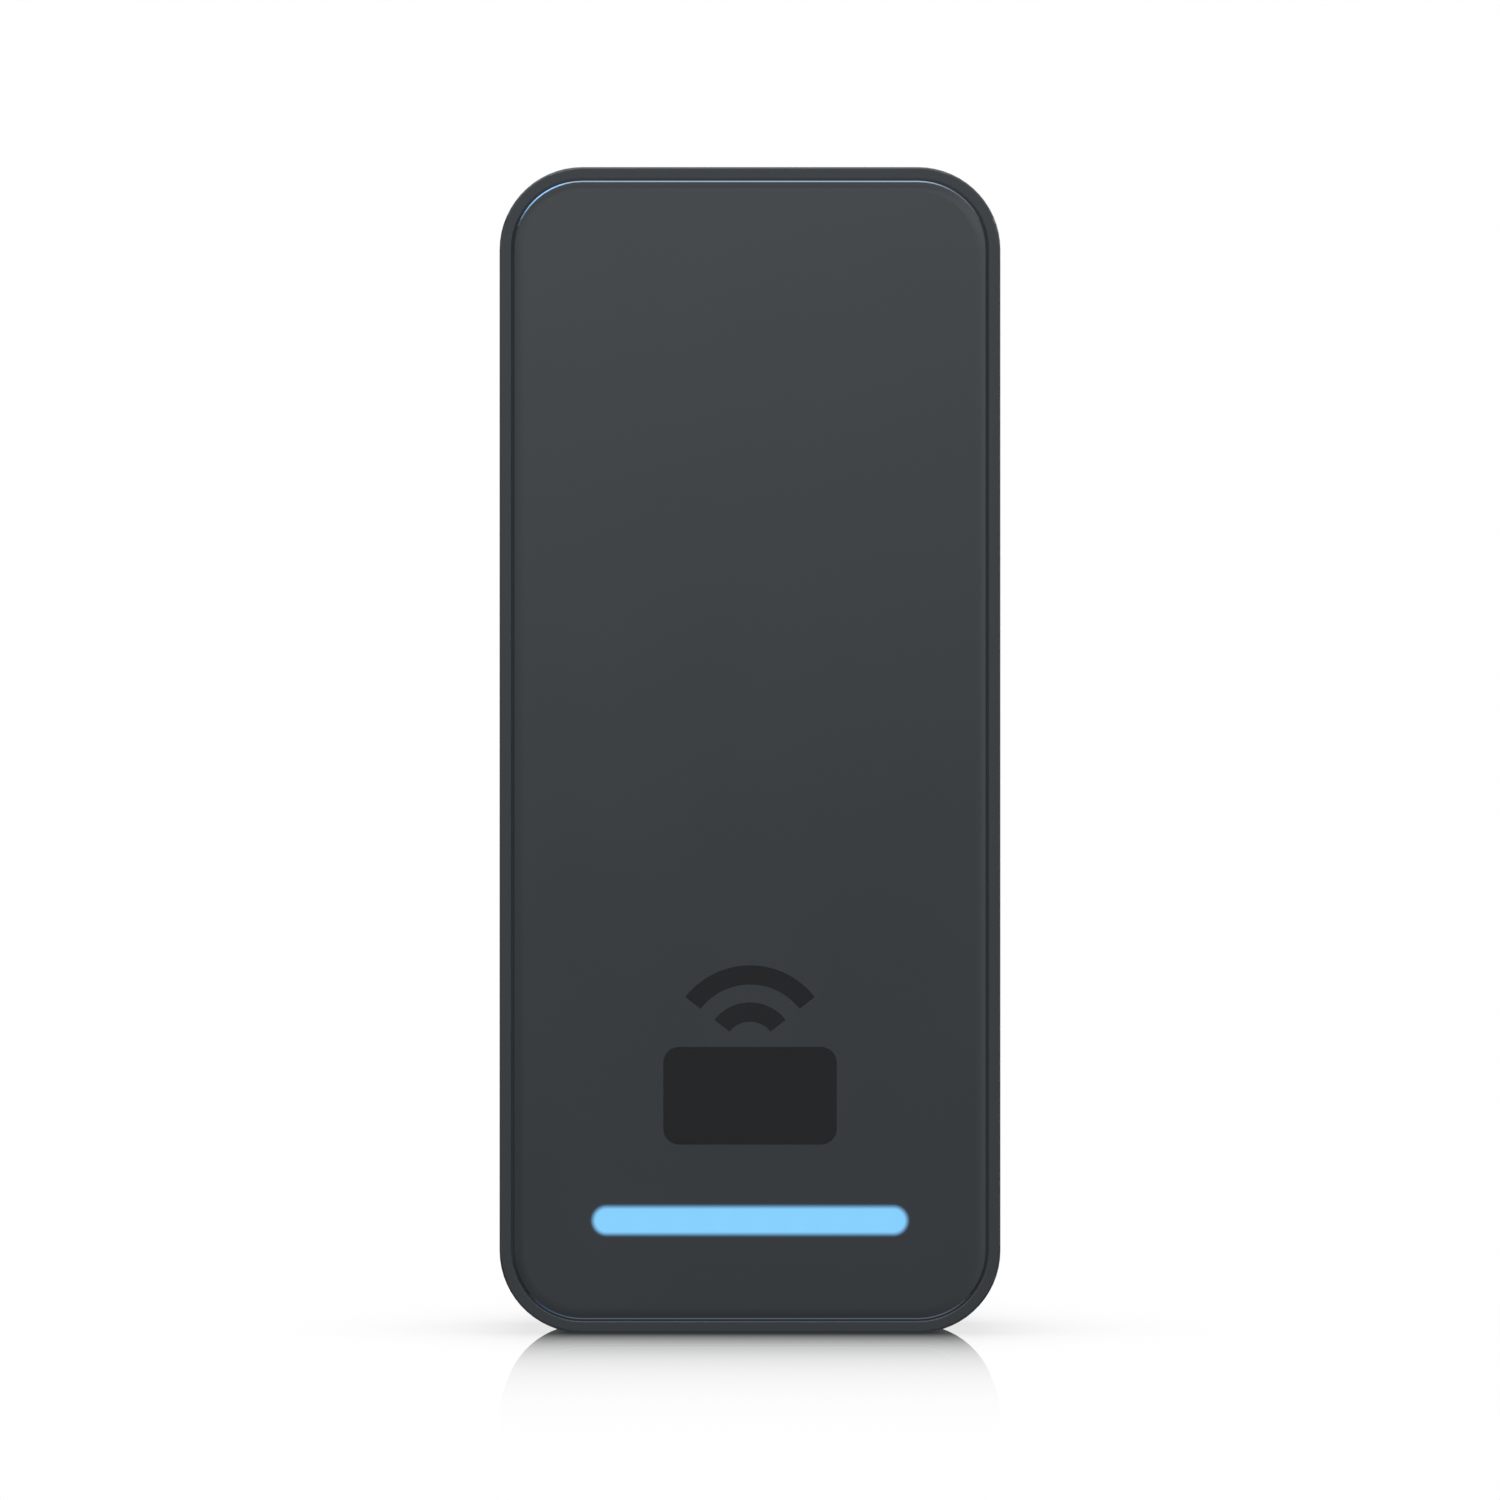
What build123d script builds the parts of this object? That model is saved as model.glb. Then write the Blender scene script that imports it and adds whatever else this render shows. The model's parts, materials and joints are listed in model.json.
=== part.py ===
"""Wall-mounted RFID card reader on its steel wall plate, in millimetres.

The origin is the centre of the wall face. +X is to the right as seen by a person in front of the
reader, +Y points into the wall and +Z is up. Distances out from the wall are called depths: a point
at depth d lies at y = -d, so the wall is depth 0 and the front face is depth DEPTH.
Outlines are drawn as seen from the front, with sketch x along X and sketch y along Z.
"""

import os
from math import copysign, cos, radians, sin

from build123d import *

SIDES = (-1, 1)

# ---- The case: driving dimensions ------------------------------------------------------------
WIDTH = 56.8
HEIGHT = 132.2
DEPTH = 20.4
CORNER_R = 9.35
RIM = 1.33  # visible width of the rim around the front panel
RIM_EDGE_R = 0.25
REAR_CHAMFER = 0.4
RIM_INNER_CHAMFER = 0.08
RIM_BACK = 0.6  # depth of the case's rear edge, just off the wall
REAR_WALL = 1.5  # case wall beside the rear cover
SIDE_WALL = 2.9  # case wall in front of the seal land

# ---- Depths of the layers, from the wall outwards --------------------------------------------
GASKET_T = 0.8
PLATE_BACK = GASKET_T
PLATE_T = 1.2
PLATE_FRONT = PLATE_BACK + PLATE_T
COVER_BACK = 2.6
COVER_T = 1.8
COVER_INNER = COVER_BACK + COVER_T
SEAL_T = 0.8
SEAL_LAND = COVER_INNER + SEAL_T
BOARD_T = 1.2
BOARD_REAR = 11.4
BOARD_FRONT = BOARD_REAR + BOARD_T
WALL_INNER = 17.5
FRONT_WALL_T = 1.2
LEDGE = WALL_INNER + FRONT_WALL_T
ADHESIVE_T = 0.2
ADHESIVE_INSET = 0.6
PANEL_BACK = LEDGE + ADHESIVE_T
WALL_T = 1.2  # ordinary moulded wall of pockets in the cover

# ---- Front panel -----------------------------------------------------------------------------
PANEL_GAP = 0.22
PANEL_INSET = RIM + PANEL_GAP
ROLL_WIDTH = 1.2  # how far in from its edge the panel starts to roll off
ROLL_DROP = 0.12
EDGE_CHAMFER = 0.15

# ---- Light bar -------------------------------------------------------------------------------
BAR_LENGTH = 36.0
BAR_WIDTH = 3.5
BAR_Z = -HEIGHT / 2 + 12.75
BAR_FLANGE = 1.8  # how far the lens flange reaches past the bar all round
BAR_FLANGE_T = 0.75
BAR_WINDOW = 0.5  # how far the openings behind the panel stand off the bar all round
BAR_GAP = 0.05
BAR_EDGE_R = 0.12
FLUSH_GAP = 0.03  # how far the bar and the mark sit below the panel's face
REFLECTOR_STEP = 0.6
REFLECTOR_WALL = 1.0
LED_COUNT = 8
LED_PITCH = 4.5
LED_SIZE = (2.0, 2.0, 0.9)

# ---- Front mark: a card with two waves above it ----------------------------------------------
MARK_Z = -HEIGHT / 2 + 31.6
MARK_HEIGHT = 20.4
CARD_WIDTH = 19.6
CARD_HEIGHT = 11.0
CARD_CORNER_R = 1.8
WAVE_STROKE = 2.1
WAVE_RADII = (4.0, 8.2)
WAVE_HALF_ANGLE = 52.0
MARK_DEPTH = 0.5
INLAY_GAP = 0.05

# ---- Wall plate ------------------------------------------------------------------------------
PLATE_WIDTH = 52.0
PLATE_TOP = 59.4
PLATE_BOTTOM = -63.0
PLATE_CORNER_R = 6.0
WINDOW_WIDTH = 36.0
WINDOW_HEIGHT = 44.0
SLOT_R = 2.1
SLOT_LENGTH = 8.0
GANG_PITCH = 83.3  # single-gang box screws
ROUND_BOX_PITCH = 60.0  # round European box screws
TIE_XZ = (10.0, -25.5)  # cable-tie slots
TIE_SLOT = (5.0, 1.8)
STAMPED_EDGE = 0.12
BEAD_X = 22.0
BEAD_WIDTH = 3.0
BEAD_LENGTH = 92.0
BEAD_HEIGHT = 0.35
FOAM_INSET = 0.5
FOAM_WIDTH = 3.5

# ---- Hanger: the plate's curls and the cover's hooks turn about this line ---------------------
PIVOT_DEPTH = 3.2
PIVOT_Z = 62.0
CURL_R = 1.4
HOOK_R = 1.48
HOOK_OUTER_R = 2.4
HANGER_X = 13.0
CURL_LENGTH = 11.0
HOOK_BLOCK_TOP = 63.0
HOOK_BLOCK_BOTTOM = 58.8
HOOK_BLOCK_DEPTH = 5.9
WEB_SPACE_BOTTOM = 59.6
HOOK_BLOCK_LENGTH = 14.0
HOOK_LIP_ANGLE = 35.0  # where the lip ends, above the horizontal towards the wall
SWING = 25.0  # how far the reader swings out
RELIEF_GAP = 0.15  # left between the swung case and the wall

# ---- Lock: a tab on the plate and a set screw through the case's lower end --------------------
TAB_WIDTH = 10.0
TAB_BOTTOM = -59.9
TAB_TOP = TAB_BOTTOM + PLATE_T
TAB_REACH = 11.2
TAB_WINDOW = 9.3
LOCK_DEPTH = 8.8
LOCK_HOLE_R = 1.65
WELL_WIDTH = 11.2
WELL_BOTTOM = -61.1
WELL_TOP = -57.5
WELL_REACH = 11.4
WELL_FLOOR_T = 0.8
LOCK_BOSS_R = 3.5
LOCK_BOSS_TOP = -62.0
INSERT_R = 2.3
INSERT_LENGTH = 3.0
LOCK_BORE_R = 1.5
LOCK_SCREW_R = 1.47
LOCK_SCREW_BOTTOM = -65.8
LOCK_SCREW_TOP = -61.3
LOCK_TIP_TOP = -60.6
LOCK_NOSE_R = 1.0
LOCK_NECK_R = 0.6
LOCK_NECK_LENGTH = 1.4
RUNNING_GAP = 0.03

# ---- Rear cover ------------------------------------------------------------------------------
COVER_GAP = 0.15
POCKET_HALF = 9.0
POCKET_BOTTOM = -20.4
POCKET_TOP = 5.2
POCKET_FLOOR = 14.8
CHANNEL_HALF = 5.0
CHANNEL_NEAR_Z = 24.6
CHANNEL_FAR_Z = 47.0
CHANNEL_FLOOR = 5.4
COVER_SCREW_X = 22.6
COVER_SCREW_Z = 53.5
COVER_SCREWS = [(side * COVER_SCREW_X, z) for z in (-COVER_SCREW_Z, 0, COVER_SCREW_Z) for side in SIDES]
BOSS_R = 2.7
BOSS_RIB = 2.4
PAD_DEPTH = 5.4
HEAD_R = 2.15
HEAD_T = 1.4
HEAD_SEAT = 4.2
SCREW_R = 1.0
SCREW_HOLE_R = 1.2
SCREW_END = 12.0
EJECTOR_MARKS = [(x, z) for z in (-36, 36) for x in (-13, 13)] + [(-15.5, -1.5), (0, 53.5)]
EJECTOR_R = 1.75
LABEL_SIZE = (28.0, 9.0)
LABEL_Z = 14.5
LABEL_T = 0.15
LABEL_RECESS = 0.2
LABEL_GAP = 0.2
VENT_XZ = (14.2, 5.5)
VENT_R = 2.6

# ---- Boards ----------------------------------------------------------------------------------
BOARD_HALF = 25.0
BOARD_TOP = 61.2
BOARD_BOTTOM = -56.1
BOARD_CORNER_R = 5.0
BOARD_SCREW_R = 0.8
BOARD_SCREW_HEAD_R = 1.8
BOARD_SCREW_HEAD_T = 1.2
BOARD_GAP = 0.3
BOARD_POSTS = [(-8.0, 57.5), (8.0, 57.5), (-19.5, -34.0), (19.5, -34.0)]
POST_R = 2.5
NOTCH_GAP = 0.6
ANTENNA_T = 0.8
ANTENNA_REAR = WALL_INNER - ANTENNA_T
ANTENNA_SIZE = (46.0, 77.0)
ANTENNA_Z = 20.5
ANTENNA_CORNER_R = 4.0
COIL_SIZE = (36.0, 64.0)
COIL_Z = 18.0
COIL_TURNS = 4
COIL_PITCH = 1.2
COIL_TRACK = 0.7
COPPER_T = 0.07
FERRITE_T = 0.3
FERRITE_MARGIN = 1.0
PIN_XS = (-3.6, -1.2, 1.2, 3.6)  # sprung pins between the two boards
PIN_Z = 56.5
PIN_R = 0.5
PIN_BARREL_R = 0.8
PIN_BARREL_LENGTH = 2.4

# ---- Network jack ----------------------------------------------------------------------------
JACK_WIDTH = 16.0
JACK_BACK = 4.7
JACK_FRONT = 16.1
JACK_BOTTOM = 7.0
JACK_LENGTH = 16.0
SHEET_T = 0.25
FIT_GAP = 0.02
PLUG_WIDTH = 11.9
PLUG_BACK = 7.9
PLUG_FRONT = 14.6
PLUG_LENGTH = 12.5
LATCH_WIDTH = 6.2
LATCH_BACK = 6.3
CONTACT_COUNT = 8
CONTACT_PITCH = 1.02
CONTACT_WIDTH = 0.45
CONTACT_ROOT = 1.6  # where the contacts leave the jack's mouth end, and how far in they reach
CONTACT_REACH = 10.5
CONTACT_DROP = 2.0

# ---- Tamper plunger, reset button and buzzer --------------------------------------------------
TAMPER_XZ = (-14.0, -45.0)
TAMPER_R = 1.6
TAMPER_COLLAR_R = 3.1
TAMPER_COLLAR = 8.0
TAMPER_TUBE_END = 6.4
TAMPER_TIP = PLATE_FRONT + FIT_GAP
TAMPER_STEM_R = 1.0
COLLAR_T = 0.8
SPRING_WIRE_R = 0.2
SPRING_TURNS = 3.5
SPRING_GAP = 0.05
SWITCH_SIZE = 3.4
ACTUATOR_R = 0.9
SWITCH_T = 1.6
ACTUATOR_T = 0.35
RESET_XZ = (14.2, -12.0)
RESET_R = 1.9
RESET_TRAVEL = 0.3
RESET_PROUD = 0.3
RESET_FLANGE = 1.0  # how far the button's flange reaches past its cap
RESET_FLANGE_T = 0.8
RESET_STEM_R = 1.1
BUZZER_XZ = (-15.2, -12.0)
BUZZER_SIZE = 8.4
BUZZER_T = 3.0
BUZZER_HOLE_R = 1.2
SLEEVE_R = 3.9
SLEEVE_WALL = 1.0
FILM_T = 0.2
SOUND_SLOT = (4.6, 0.8)
SOUND_SLOT_PITCH = 2.0

# ---- Small parts on the main board: (x, z) centres and (width, height, thickness) -------------
PROCESSOR = ((-14.0, 38.0), (13.0, 13.0, 1.2))
HEAT_SINK = ((-14.0, 39.0), (14.0, 22.0, 4.0))
SINK_FINS = 6
SINK_BASE_T = 1.0
THERMAL_PAD_T = 1.0
THERMAL_PAD_SIZE = (12.0, 12.0)
RADIO_SHIELD = ((-17.0, 13.5), (10.0, 12.0, 2.4))
SHIELD_EDGE_R = 0.4
READER_CHIP = ((17.0, 16.0), (6.0, 6.0, 0.9))
TRANSFORMER = ((14.0, 43.0), (11.0, 11.0, 6.2))
MAGNETICS = ((0.0, 34.0), (11.0, 9.0, 3.0))
MEMORY_CHIPS = [((-13.5, 54.2), (5.0, 6.0, 1.0)), ((-17.0, 24.5), (8.0, 6.0, 1.0))]
INDUCTORS = [((12.5, 52.6), (5.0, 5.0, 2.8)), ((13.5, -42.0), (6.0, 6.0, 3.0))]
INDUCTOR_GROOVE = (0.34, 0.42)  # inner and outer radius, as shares of the inductor's width
INDUCTOR_GROOVE_DEPTH = 0.5
CRYSTALS = [((-3.5, 46.5), (3.2, 2.5, 0.8)), ((16.5, 8.5), (3.2, 2.5, 0.8))]
CAPACITORS = [(10.8, 31.0), (17.4, 31.0), (5.0, -52.0)]
CAPACITOR_R = 2.5
CAPACITOR_T = 5.4
CAPACITOR_BASE = 5.3
CAPACITOR_BASE_T = 0.8
CAPACITOR_EDGE_R = 0.3
PASSIVE_SIZE = (1.6, 0.8, 0.7)
PASSIVE_STEP = (2.6, 2.0)
PASSIVES_IN_A_GROUP = 4
PASSIVE_GROUPS = [(-6.0, 53.0), (9.5, 20.5), (-20.0, -28.0), (9.0, -28.0), (-9.0, -51.5)]  # first of each


# ---- Helpers ---------------------------------------------------------------------------------
def slab(outline, near, far):
    """A front-view outline made solid between two depths."""
    return extrude(Plane.XZ.offset(near) * outline, far - near)


def disc(centre, radius, near, far):
    """A cylinder whose axis points out of the wall."""
    return slab(Pos(*centre) * Circle(radius), near, far)


def block(centre, size, near, far):
    """A box given by its front-view centre and size, between two depths."""
    return slab(Pos(*centre) * Rectangle(*size), near, far)


def side_profile(*points):
    """A closed outline in the side view, from (depth, z) points."""
    return make_face(Polyline(*[(-depth, z) for depth, z in points], close=True))


def across(profile, centre_x, length):
    """A side-view profile made solid along X."""
    return extrude(Plane.YZ.offset(centre_x - length / 2) * profile, length)


def upright(radius, bottom, top):
    """A vertical cylinder on the lock screw's axis."""
    align = (Align.CENTER, Align.CENTER, Align.MIN)
    return Pos(0, -LOCK_DEPTH, bottom) * Cylinder(radius, top - bottom, align=align)


def case_outline(inset):
    """The case's front-view outline, moved inwards."""
    return RectangleRounded(WIDTH - 2 * inset, HEIGHT - 2 * inset, CORNER_R - inset)


def bar(grow=0.0):
    """The light bar's pill-shaped outline, grown outwards."""
    return Pos(0, BAR_Z) * SlotOverall(BAR_LENGTH + 2 * grow, BAR_WIDTH + 2 * grow)


def star(radius):
    """A six-lobed driver recess."""
    shape = Circle(radius * 0.8)
    for turn in range(6):
        shape += Rot(0, 0, 60 * turn) * Pos(radius * 0.72, 0) * Circle(radius * 0.28)
    return shape


def chips(items):
    """Box-shaped components on the rear of the main board."""
    return [block(centre, size[:2], BOARD_REAR - size[2], BOARD_REAR) for centre, size in items]


def pan_screw(centre, seat, radius, head_r, head_t, end):
    """A pan-head screw driven towards the front, with its head's underside at depth seat."""
    head = disc(centre, head_r, seat - head_t, seat)
    head = fillet(head.edges().group_by(Axis.Y)[-1], head_t * 0.4)
    recess = slab(Pos(*centre) * star(head_r * 0.55), seat - head_t, seat - head_t * 0.35)
    return head - recess + disc(centre, radius, seat, end)


# ---- Wall side -------------------------------------------------------------------------------
def plate_outline(inset):
    """The wall plate's front-view outline, moved inwards."""
    height = PLATE_TOP - PLATE_BOTTOM
    shape = RectangleRounded(PLATE_WIDTH - 2 * inset, height - 2 * inset, PLATE_CORNER_R - inset)
    return Pos(0, (PLATE_TOP + PLATE_BOTTOM) / 2) * shape


def screw_slots():
    """The four upright wall-screw slots."""
    heights = [side * pitch / 2 for pitch in (GANG_PITCH, ROUND_BOX_PITCH) for side in SIDES]
    return [Pos(0, z) * Rot(0, 0, 90) * SlotOverall(SLOT_LENGTH, 2 * SLOT_R) for z in heights]


def hanger_curl(centre_x):
    """A tab bent forwards off the plate's top edge and rolled into a curl on the pivot line."""
    web_top = PIVOT_Z - CURL_R + PLATE_T
    web = side_profile(
        (PLATE_BACK, PLATE_TOP - 1),
        (PLATE_BACK, web_top),
        (PIVOT_DEPTH, web_top),
        (PIVOT_DEPTH, web_top - PLATE_T),
        (PLATE_FRONT, web_top - PLATE_T),
        (PLATE_FRONT, PLATE_TOP - 1),
    )
    roll = Pos(-PIVOT_DEPTH, PIVOT_Z) * Circle(CURL_R)
    eye = Pos(-PIVOT_DEPTH, PIVOT_Z) * Circle(CURL_R - PLATE_T)
    return across(web + roll - eye, centre_x, CURL_LENGTH)


def lock_tab():
    """A tab lanced from the plate and bent forwards, with the lock screw's hole in it."""
    bend = PLATE_T
    profile = side_profile(
        (PLATE_BACK, TAB_BOTTOM - 1),
        (PLATE_BACK, TAB_TOP - bend),
        (PLATE_BACK + bend, TAB_TOP),
        (TAB_REACH, TAB_TOP),
        (TAB_REACH, TAB_BOTTOM),
        (PLATE_FRONT, TAB_BOTTOM),
        (PLATE_FRONT, TAB_BOTTOM - 1),
    )
    return across(profile, 0, TAB_WIDTH) - upright(LOCK_HOLE_R, TAB_BOTTOM - 1, TAB_TOP + 1)


def wall_plate():
    """Stamped bracket: slots, cable window, stiffening beads, hanger curls and lock tab."""
    plate = slab(plate_outline(0), PLATE_BACK, PLATE_FRONT)
    window = RectangleRounded(WINDOW_WIDTH, WINDOW_HEIGHT, 4)
    tab_window = Pos(0, TAB_TOP + TAB_WINDOW / 2) * Rectangle(TAB_WIDTH + 1.2, TAB_WINDOW)
    ties = [Pos(side * TIE_XZ[0], TIE_XZ[1]) * SlotOverall(*TIE_SLOT) for side in SIDES]
    plate -= [slab(hole, 0, PLATE_FRONT) for hole in (window, tab_window, *ties, *screw_slots())]
    plate = chamfer(plate.edges().group_by(Axis.Y)[0], STAMPED_EDGE)
    for side in SIDES:
        bead = Pos(side * BEAD_X, 0) * Rot(0, 0, 90) * SlotOverall(BEAD_LENGTH, BEAD_WIDTH)
        groove = Pos(side * BEAD_X, 0) * Rot(0, 0, 90) * SlotOverall(BEAD_LENGTH - 1, BEAD_WIDTH - 1)
        plate += slab(bead, PLATE_FRONT, PLATE_FRONT + BEAD_HEIGHT)
        plate -= slab(groove, 0, PLATE_BACK + BEAD_HEIGHT)
        plate += hanger_curl(side * HANGER_X)
    return plate + lock_tab()


def wall_gasket():
    """Foam ring that seals the plate to the wall."""
    ring = plate_outline(FOAM_INSET) - plate_outline(FOAM_INSET + FOAM_WIDTH)
    return slab(ring, 0, GASKET_T)


# ---- Case ------------------------------------------------------------------------------------
def wall_relief():
    """The wedge taken off the case's top rear edge, so that it clears the wall as it swings."""
    normal = Vector(0, cos(radians(SWING)), sin(radians(SWING)))
    pivot = Vector(0, -PIVOT_DEPTH, PIVOT_Z)
    face = Plane(pivot + normal * (PIVOT_DEPTH - RELIEF_GAP), x_dir=(1, 0, 0), z_dir=normal)
    return face * Box(2 * WIDTH, 4 * CORNER_R, 10, align=(Align.CENTER, Align.CENTER, Align.MIN))


def front_housing():
    """The case: a tub with a thin rim at the front, screw bosses, board posts and a seal land."""
    case = slab(case_outline(0), RIM_BACK, DEPTH)
    case = fillet(case.edges().group_by(Axis.Y)[0], RIM_EDGE_R)
    case = chamfer(case.edges().group_by(Axis.Y)[-1], REAR_CHAMFER)
    case -= wall_relief()
    case -= slab(case_outline(REAR_WALL), 0, SEAL_LAND)
    case -= slab(case_outline(SIDE_WALL), 0, WALL_INNER)
    case -= slab(case_outline(RIM), LEDGE, DEPTH)
    rim_edge = Plane.XZ.offset(DEPTH - RIM_INNER_CHAMFER) * case_outline(RIM)
    case -= extrude(rim_edge, RIM_INNER_CHAMFER, taper=-45)
    for centre in COVER_SCREWS:
        rib_x = (centre[0] + copysign(WIDTH / 2 - SIDE_WALL + 0.5, centre[0])) / 2
        rib_size = (2 * abs(rib_x - centre[0]), BOSS_RIB)
        case += disc(centre, BOSS_R, PAD_DEPTH, WALL_INNER)
        case += block((rib_x, centre[1]), rib_size, PAD_DEPTH, WALL_INNER)
        case -= disc(centre, SCREW_R + RUNNING_GAP, PAD_DEPTH, SCREW_END + 1)
    for centre in BOARD_POSTS:
        case += disc(centre, POST_R, BOARD_FRONT, WALL_INNER)
        case -= disc(centre, BOARD_SCREW_R + RUNNING_GAP, BOARD_FRONT, WALL_INNER - 0.5)
    case -= slab(bar(BAR_WINDOW), WALL_INNER, LEDGE)
    case -= slab(bar(BAR_FLANGE + BAR_GAP), LEDGE - BAR_FLANGE_T - BAR_GAP, LEDGE)
    case += upright(LOCK_BOSS_R, -HEIGHT / 2 + 1, LOCK_BOSS_TOP)
    case -= upright(INSERT_R + FIT_GAP, LOCK_BOSS_TOP - INSERT_LENGTH, LOCK_BOSS_TOP)
    return case - upright(LOCK_BORE_R + 0.2, -HEIGHT / 2, LOCK_BOSS_TOP)


def panel_edge_cut():
    """What the rolled edge takes off the panel, all the way round."""
    edge = CORNER_R - PANEL_INSET
    roll = TangentArc((edge - ROLL_WIDTH, 0), (edge - EDGE_CHAMFER, ROLL_DROP), tangent=(1, 0))
    rest = Polyline(
        (edge - EDGE_CHAMFER, ROLL_DROP),
        (edge, ROLL_DROP + EDGE_CHAMFER),
        (edge + 1, ROLL_DROP + EDGE_CHAMFER),
        (edge + 1, -1),
        (edge - ROLL_WIDTH, -1),
        (edge - ROLL_WIDTH, 0),
    )
    x, z = WIDTH / 2 - CORNER_R, HEIGHT / 2 - CORNER_R
    profile = Pos(x, -DEPTH, z) * make_face(roll + rest)
    corner_axis = Axis((x, 0, z), (0, -1, 0))
    quarter = extrude(profile, z, dir=(0, 0, -1))
    quarter += revolve(profile, corner_axis, 90)
    quarter += extrude(profile.rotate(corner_axis, 90), x, dir=(-1, 0, 0))
    half = quarter + mirror(quarter, Plane.YZ)
    return half + mirror(half, Plane.XY)


def front_panel():
    """The smooth front panel, with a slot for the light bar and a shallow pocket for the mark."""
    panel = slab(case_outline(PANEL_INSET), PANEL_BACK, DEPTH) - panel_edge_cut()
    panel -= slab(bar(BAR_GAP), PANEL_BACK, DEPTH)
    return panel - slab(mark_sketch(INLAY_GAP), DEPTH - MARK_DEPTH, DEPTH)


def mark_sketch(grow=0.0):
    """A plain card shape with two waves above it, grown outwards a little for its pocket."""
    bottom = MARK_Z - MARK_HEIGHT / 2
    size = (CARD_WIDTH + 2 * grow, CARD_HEIGHT + 2 * grow)
    shapes = [Pos(0, bottom + CARD_HEIGHT / 2) * RectangleRounded(*size, CARD_CORNER_R)]
    half = radians(WAVE_HALF_ANGLE)
    across_fan = 2 * MARK_HEIGHT * sin(half)
    up_fan = 2 * MARK_HEIGHT * cos(half)
    fan = [(0, -grow / sin(half)), (across_fan, up_fan), (-across_fan, up_fan)]
    for radius in WAVE_RADII:
        ring = Circle(radius + WAVE_STROKE / 2 + grow) - Circle(radius - WAVE_STROKE / 2 - grow)
        wave = ring & make_face(Polyline(*fan, close=True))
        shapes.append(Pos(0, bottom + CARD_HEIGHT) * wave)
    return Sketch() + shapes


def panel_adhesive():
    """Die-cut sheet that bonds the panel to the case."""
    sheet = slab(case_outline(PANEL_INSET + ADHESIVE_INSET), LEDGE, PANEL_BACK)
    return sheet - slab(bar(BAR_WINDOW), LEDGE, PANEL_BACK)


def front_mark():
    """The flush inlay."""
    return slab(mark_sketch(), DEPTH - MARK_DEPTH, DEPTH - FLUSH_GAP)


def light_bar_lens():
    """Translucent bar with a flange that sits behind the panel."""
    lens = slab(bar(), LEDGE, DEPTH - FLUSH_GAP)
    lens = fillet(lens.edges().group_by(Axis.Y)[0], BAR_EDGE_R)
    return lens + slab(bar(BAR_FLANGE), LEDGE - BAR_FLANGE_T, LEDGE)


def light_bar_reflector():
    """White box that mixes the light between the LEDs and the lens."""
    ring = bar(REFLECTOR_STEP + REFLECTOR_WALL) - bar(REFLECTOR_STEP)
    return slab(ring, BOARD_FRONT + 0.3, WALL_INNER)


# ---- Boards and what they carry --------------------------------------------------------------
def clear_of_bosses(board):
    """A board's outline with room left round the case's bosses."""
    for centre in COVER_SCREWS:
        board -= Pos(*centre) * Circle(BOSS_R + NOTCH_GAP)
    return board


def main_board():
    """The main board, cut out round the rear pocket and the jack."""
    middle, height = (BOARD_TOP + BOARD_BOTTOM) / 2, BOARD_TOP - BOARD_BOTTOM
    board = Pos(0, middle) * RectangleRounded(2 * BOARD_HALF, height, BOARD_CORNER_R)
    low = POCKET_BOTTOM - WALL_T - BOARD_GAP
    high = POCKET_TOP + WALL_T + BOARD_GAP
    jack_end = JACK_BOTTOM + JACK_LENGTH + BOARD_GAP
    board -= Pos(0, (low + high) / 2) * Rectangle(2 * (POCKET_HALF + WALL_T + BOARD_GAP), high - low)
    board -= Pos(0, (low + jack_end) / 2) * Rectangle(JACK_WIDTH + BOARD_GAP, jack_end - low)
    board = clear_of_bosses(board)
    for centre in BOARD_POSTS:
        board -= Pos(*centre) * Circle(BOARD_SCREW_R + BOARD_GAP)
    return slab(board, BOARD_REAR, BOARD_FRONT)


def board_screws():
    """The four screws that hold the main board to the posts."""
    head = (BOARD_SCREW_HEAD_R, BOARD_SCREW_HEAD_T)
    return [pan_screw(c, BOARD_REAR, BOARD_SCREW_R, *head, WALL_INNER - 1) for c in BOARD_POSTS]


def antenna_board():
    """Thin board bonded to the inside of the front wall."""
    board = clear_of_bosses(Pos(0, ANTENNA_Z) * RectangleRounded(*ANTENNA_SIZE, ANTENNA_CORNER_R))
    for centre in BOARD_POSTS:
        board -= Pos(*centre) * Circle(POST_R + NOTCH_GAP)
    return slab(board, ANTENNA_REAR, WALL_INNER)


def antenna_coil():
    """One flat copper track wound inwards as a rectangular loop."""
    half_x, half_z = COIL_SIZE[0] / 2, COIL_SIZE[1] / 2
    points = []
    for turn in range(COIL_TURNS):
        x = half_x - turn * COIL_PITCH
        z = half_z - turn * COIL_PITCH
        points += [(-x, -z), (x, -z), (x, z), (-x, z), (-x, -z + COIL_PITCH)]
    path = Polyline(*[(x, z + COIL_Z) for x, z in points])
    return slab(trace(path, COIL_TRACK), ANTENNA_REAR - COPPER_T, ANTENNA_REAR)


def ferrite_sheet():
    """Ferrite film behind the coil, which keeps the field off the main board."""
    width, height = COIL_SIZE
    outline = RectangleRounded(width + 2 * FERRITE_MARGIN, height + 2 * FERRITE_MARGIN, 1.5)
    sheet = clear_of_bosses(Pos(0, COIL_Z) * outline)
    near = ANTENNA_REAR - COPPER_T - FERRITE_T
    return slab(sheet, near, near + FERRITE_T)


def antenna_contacts():
    """Sprung pins between the two boards."""
    pins = []
    shoulder = BOARD_FRONT + PIN_BARREL_LENGTH
    for x in PIN_XS:
        barrel = disc((x, PIN_Z), PIN_BARREL_R, BOARD_FRONT, shoulder)
        pins.append(barrel + disc((x, PIN_Z), PIN_R, shoulder, ANTENNA_REAR))
    return pins


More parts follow.
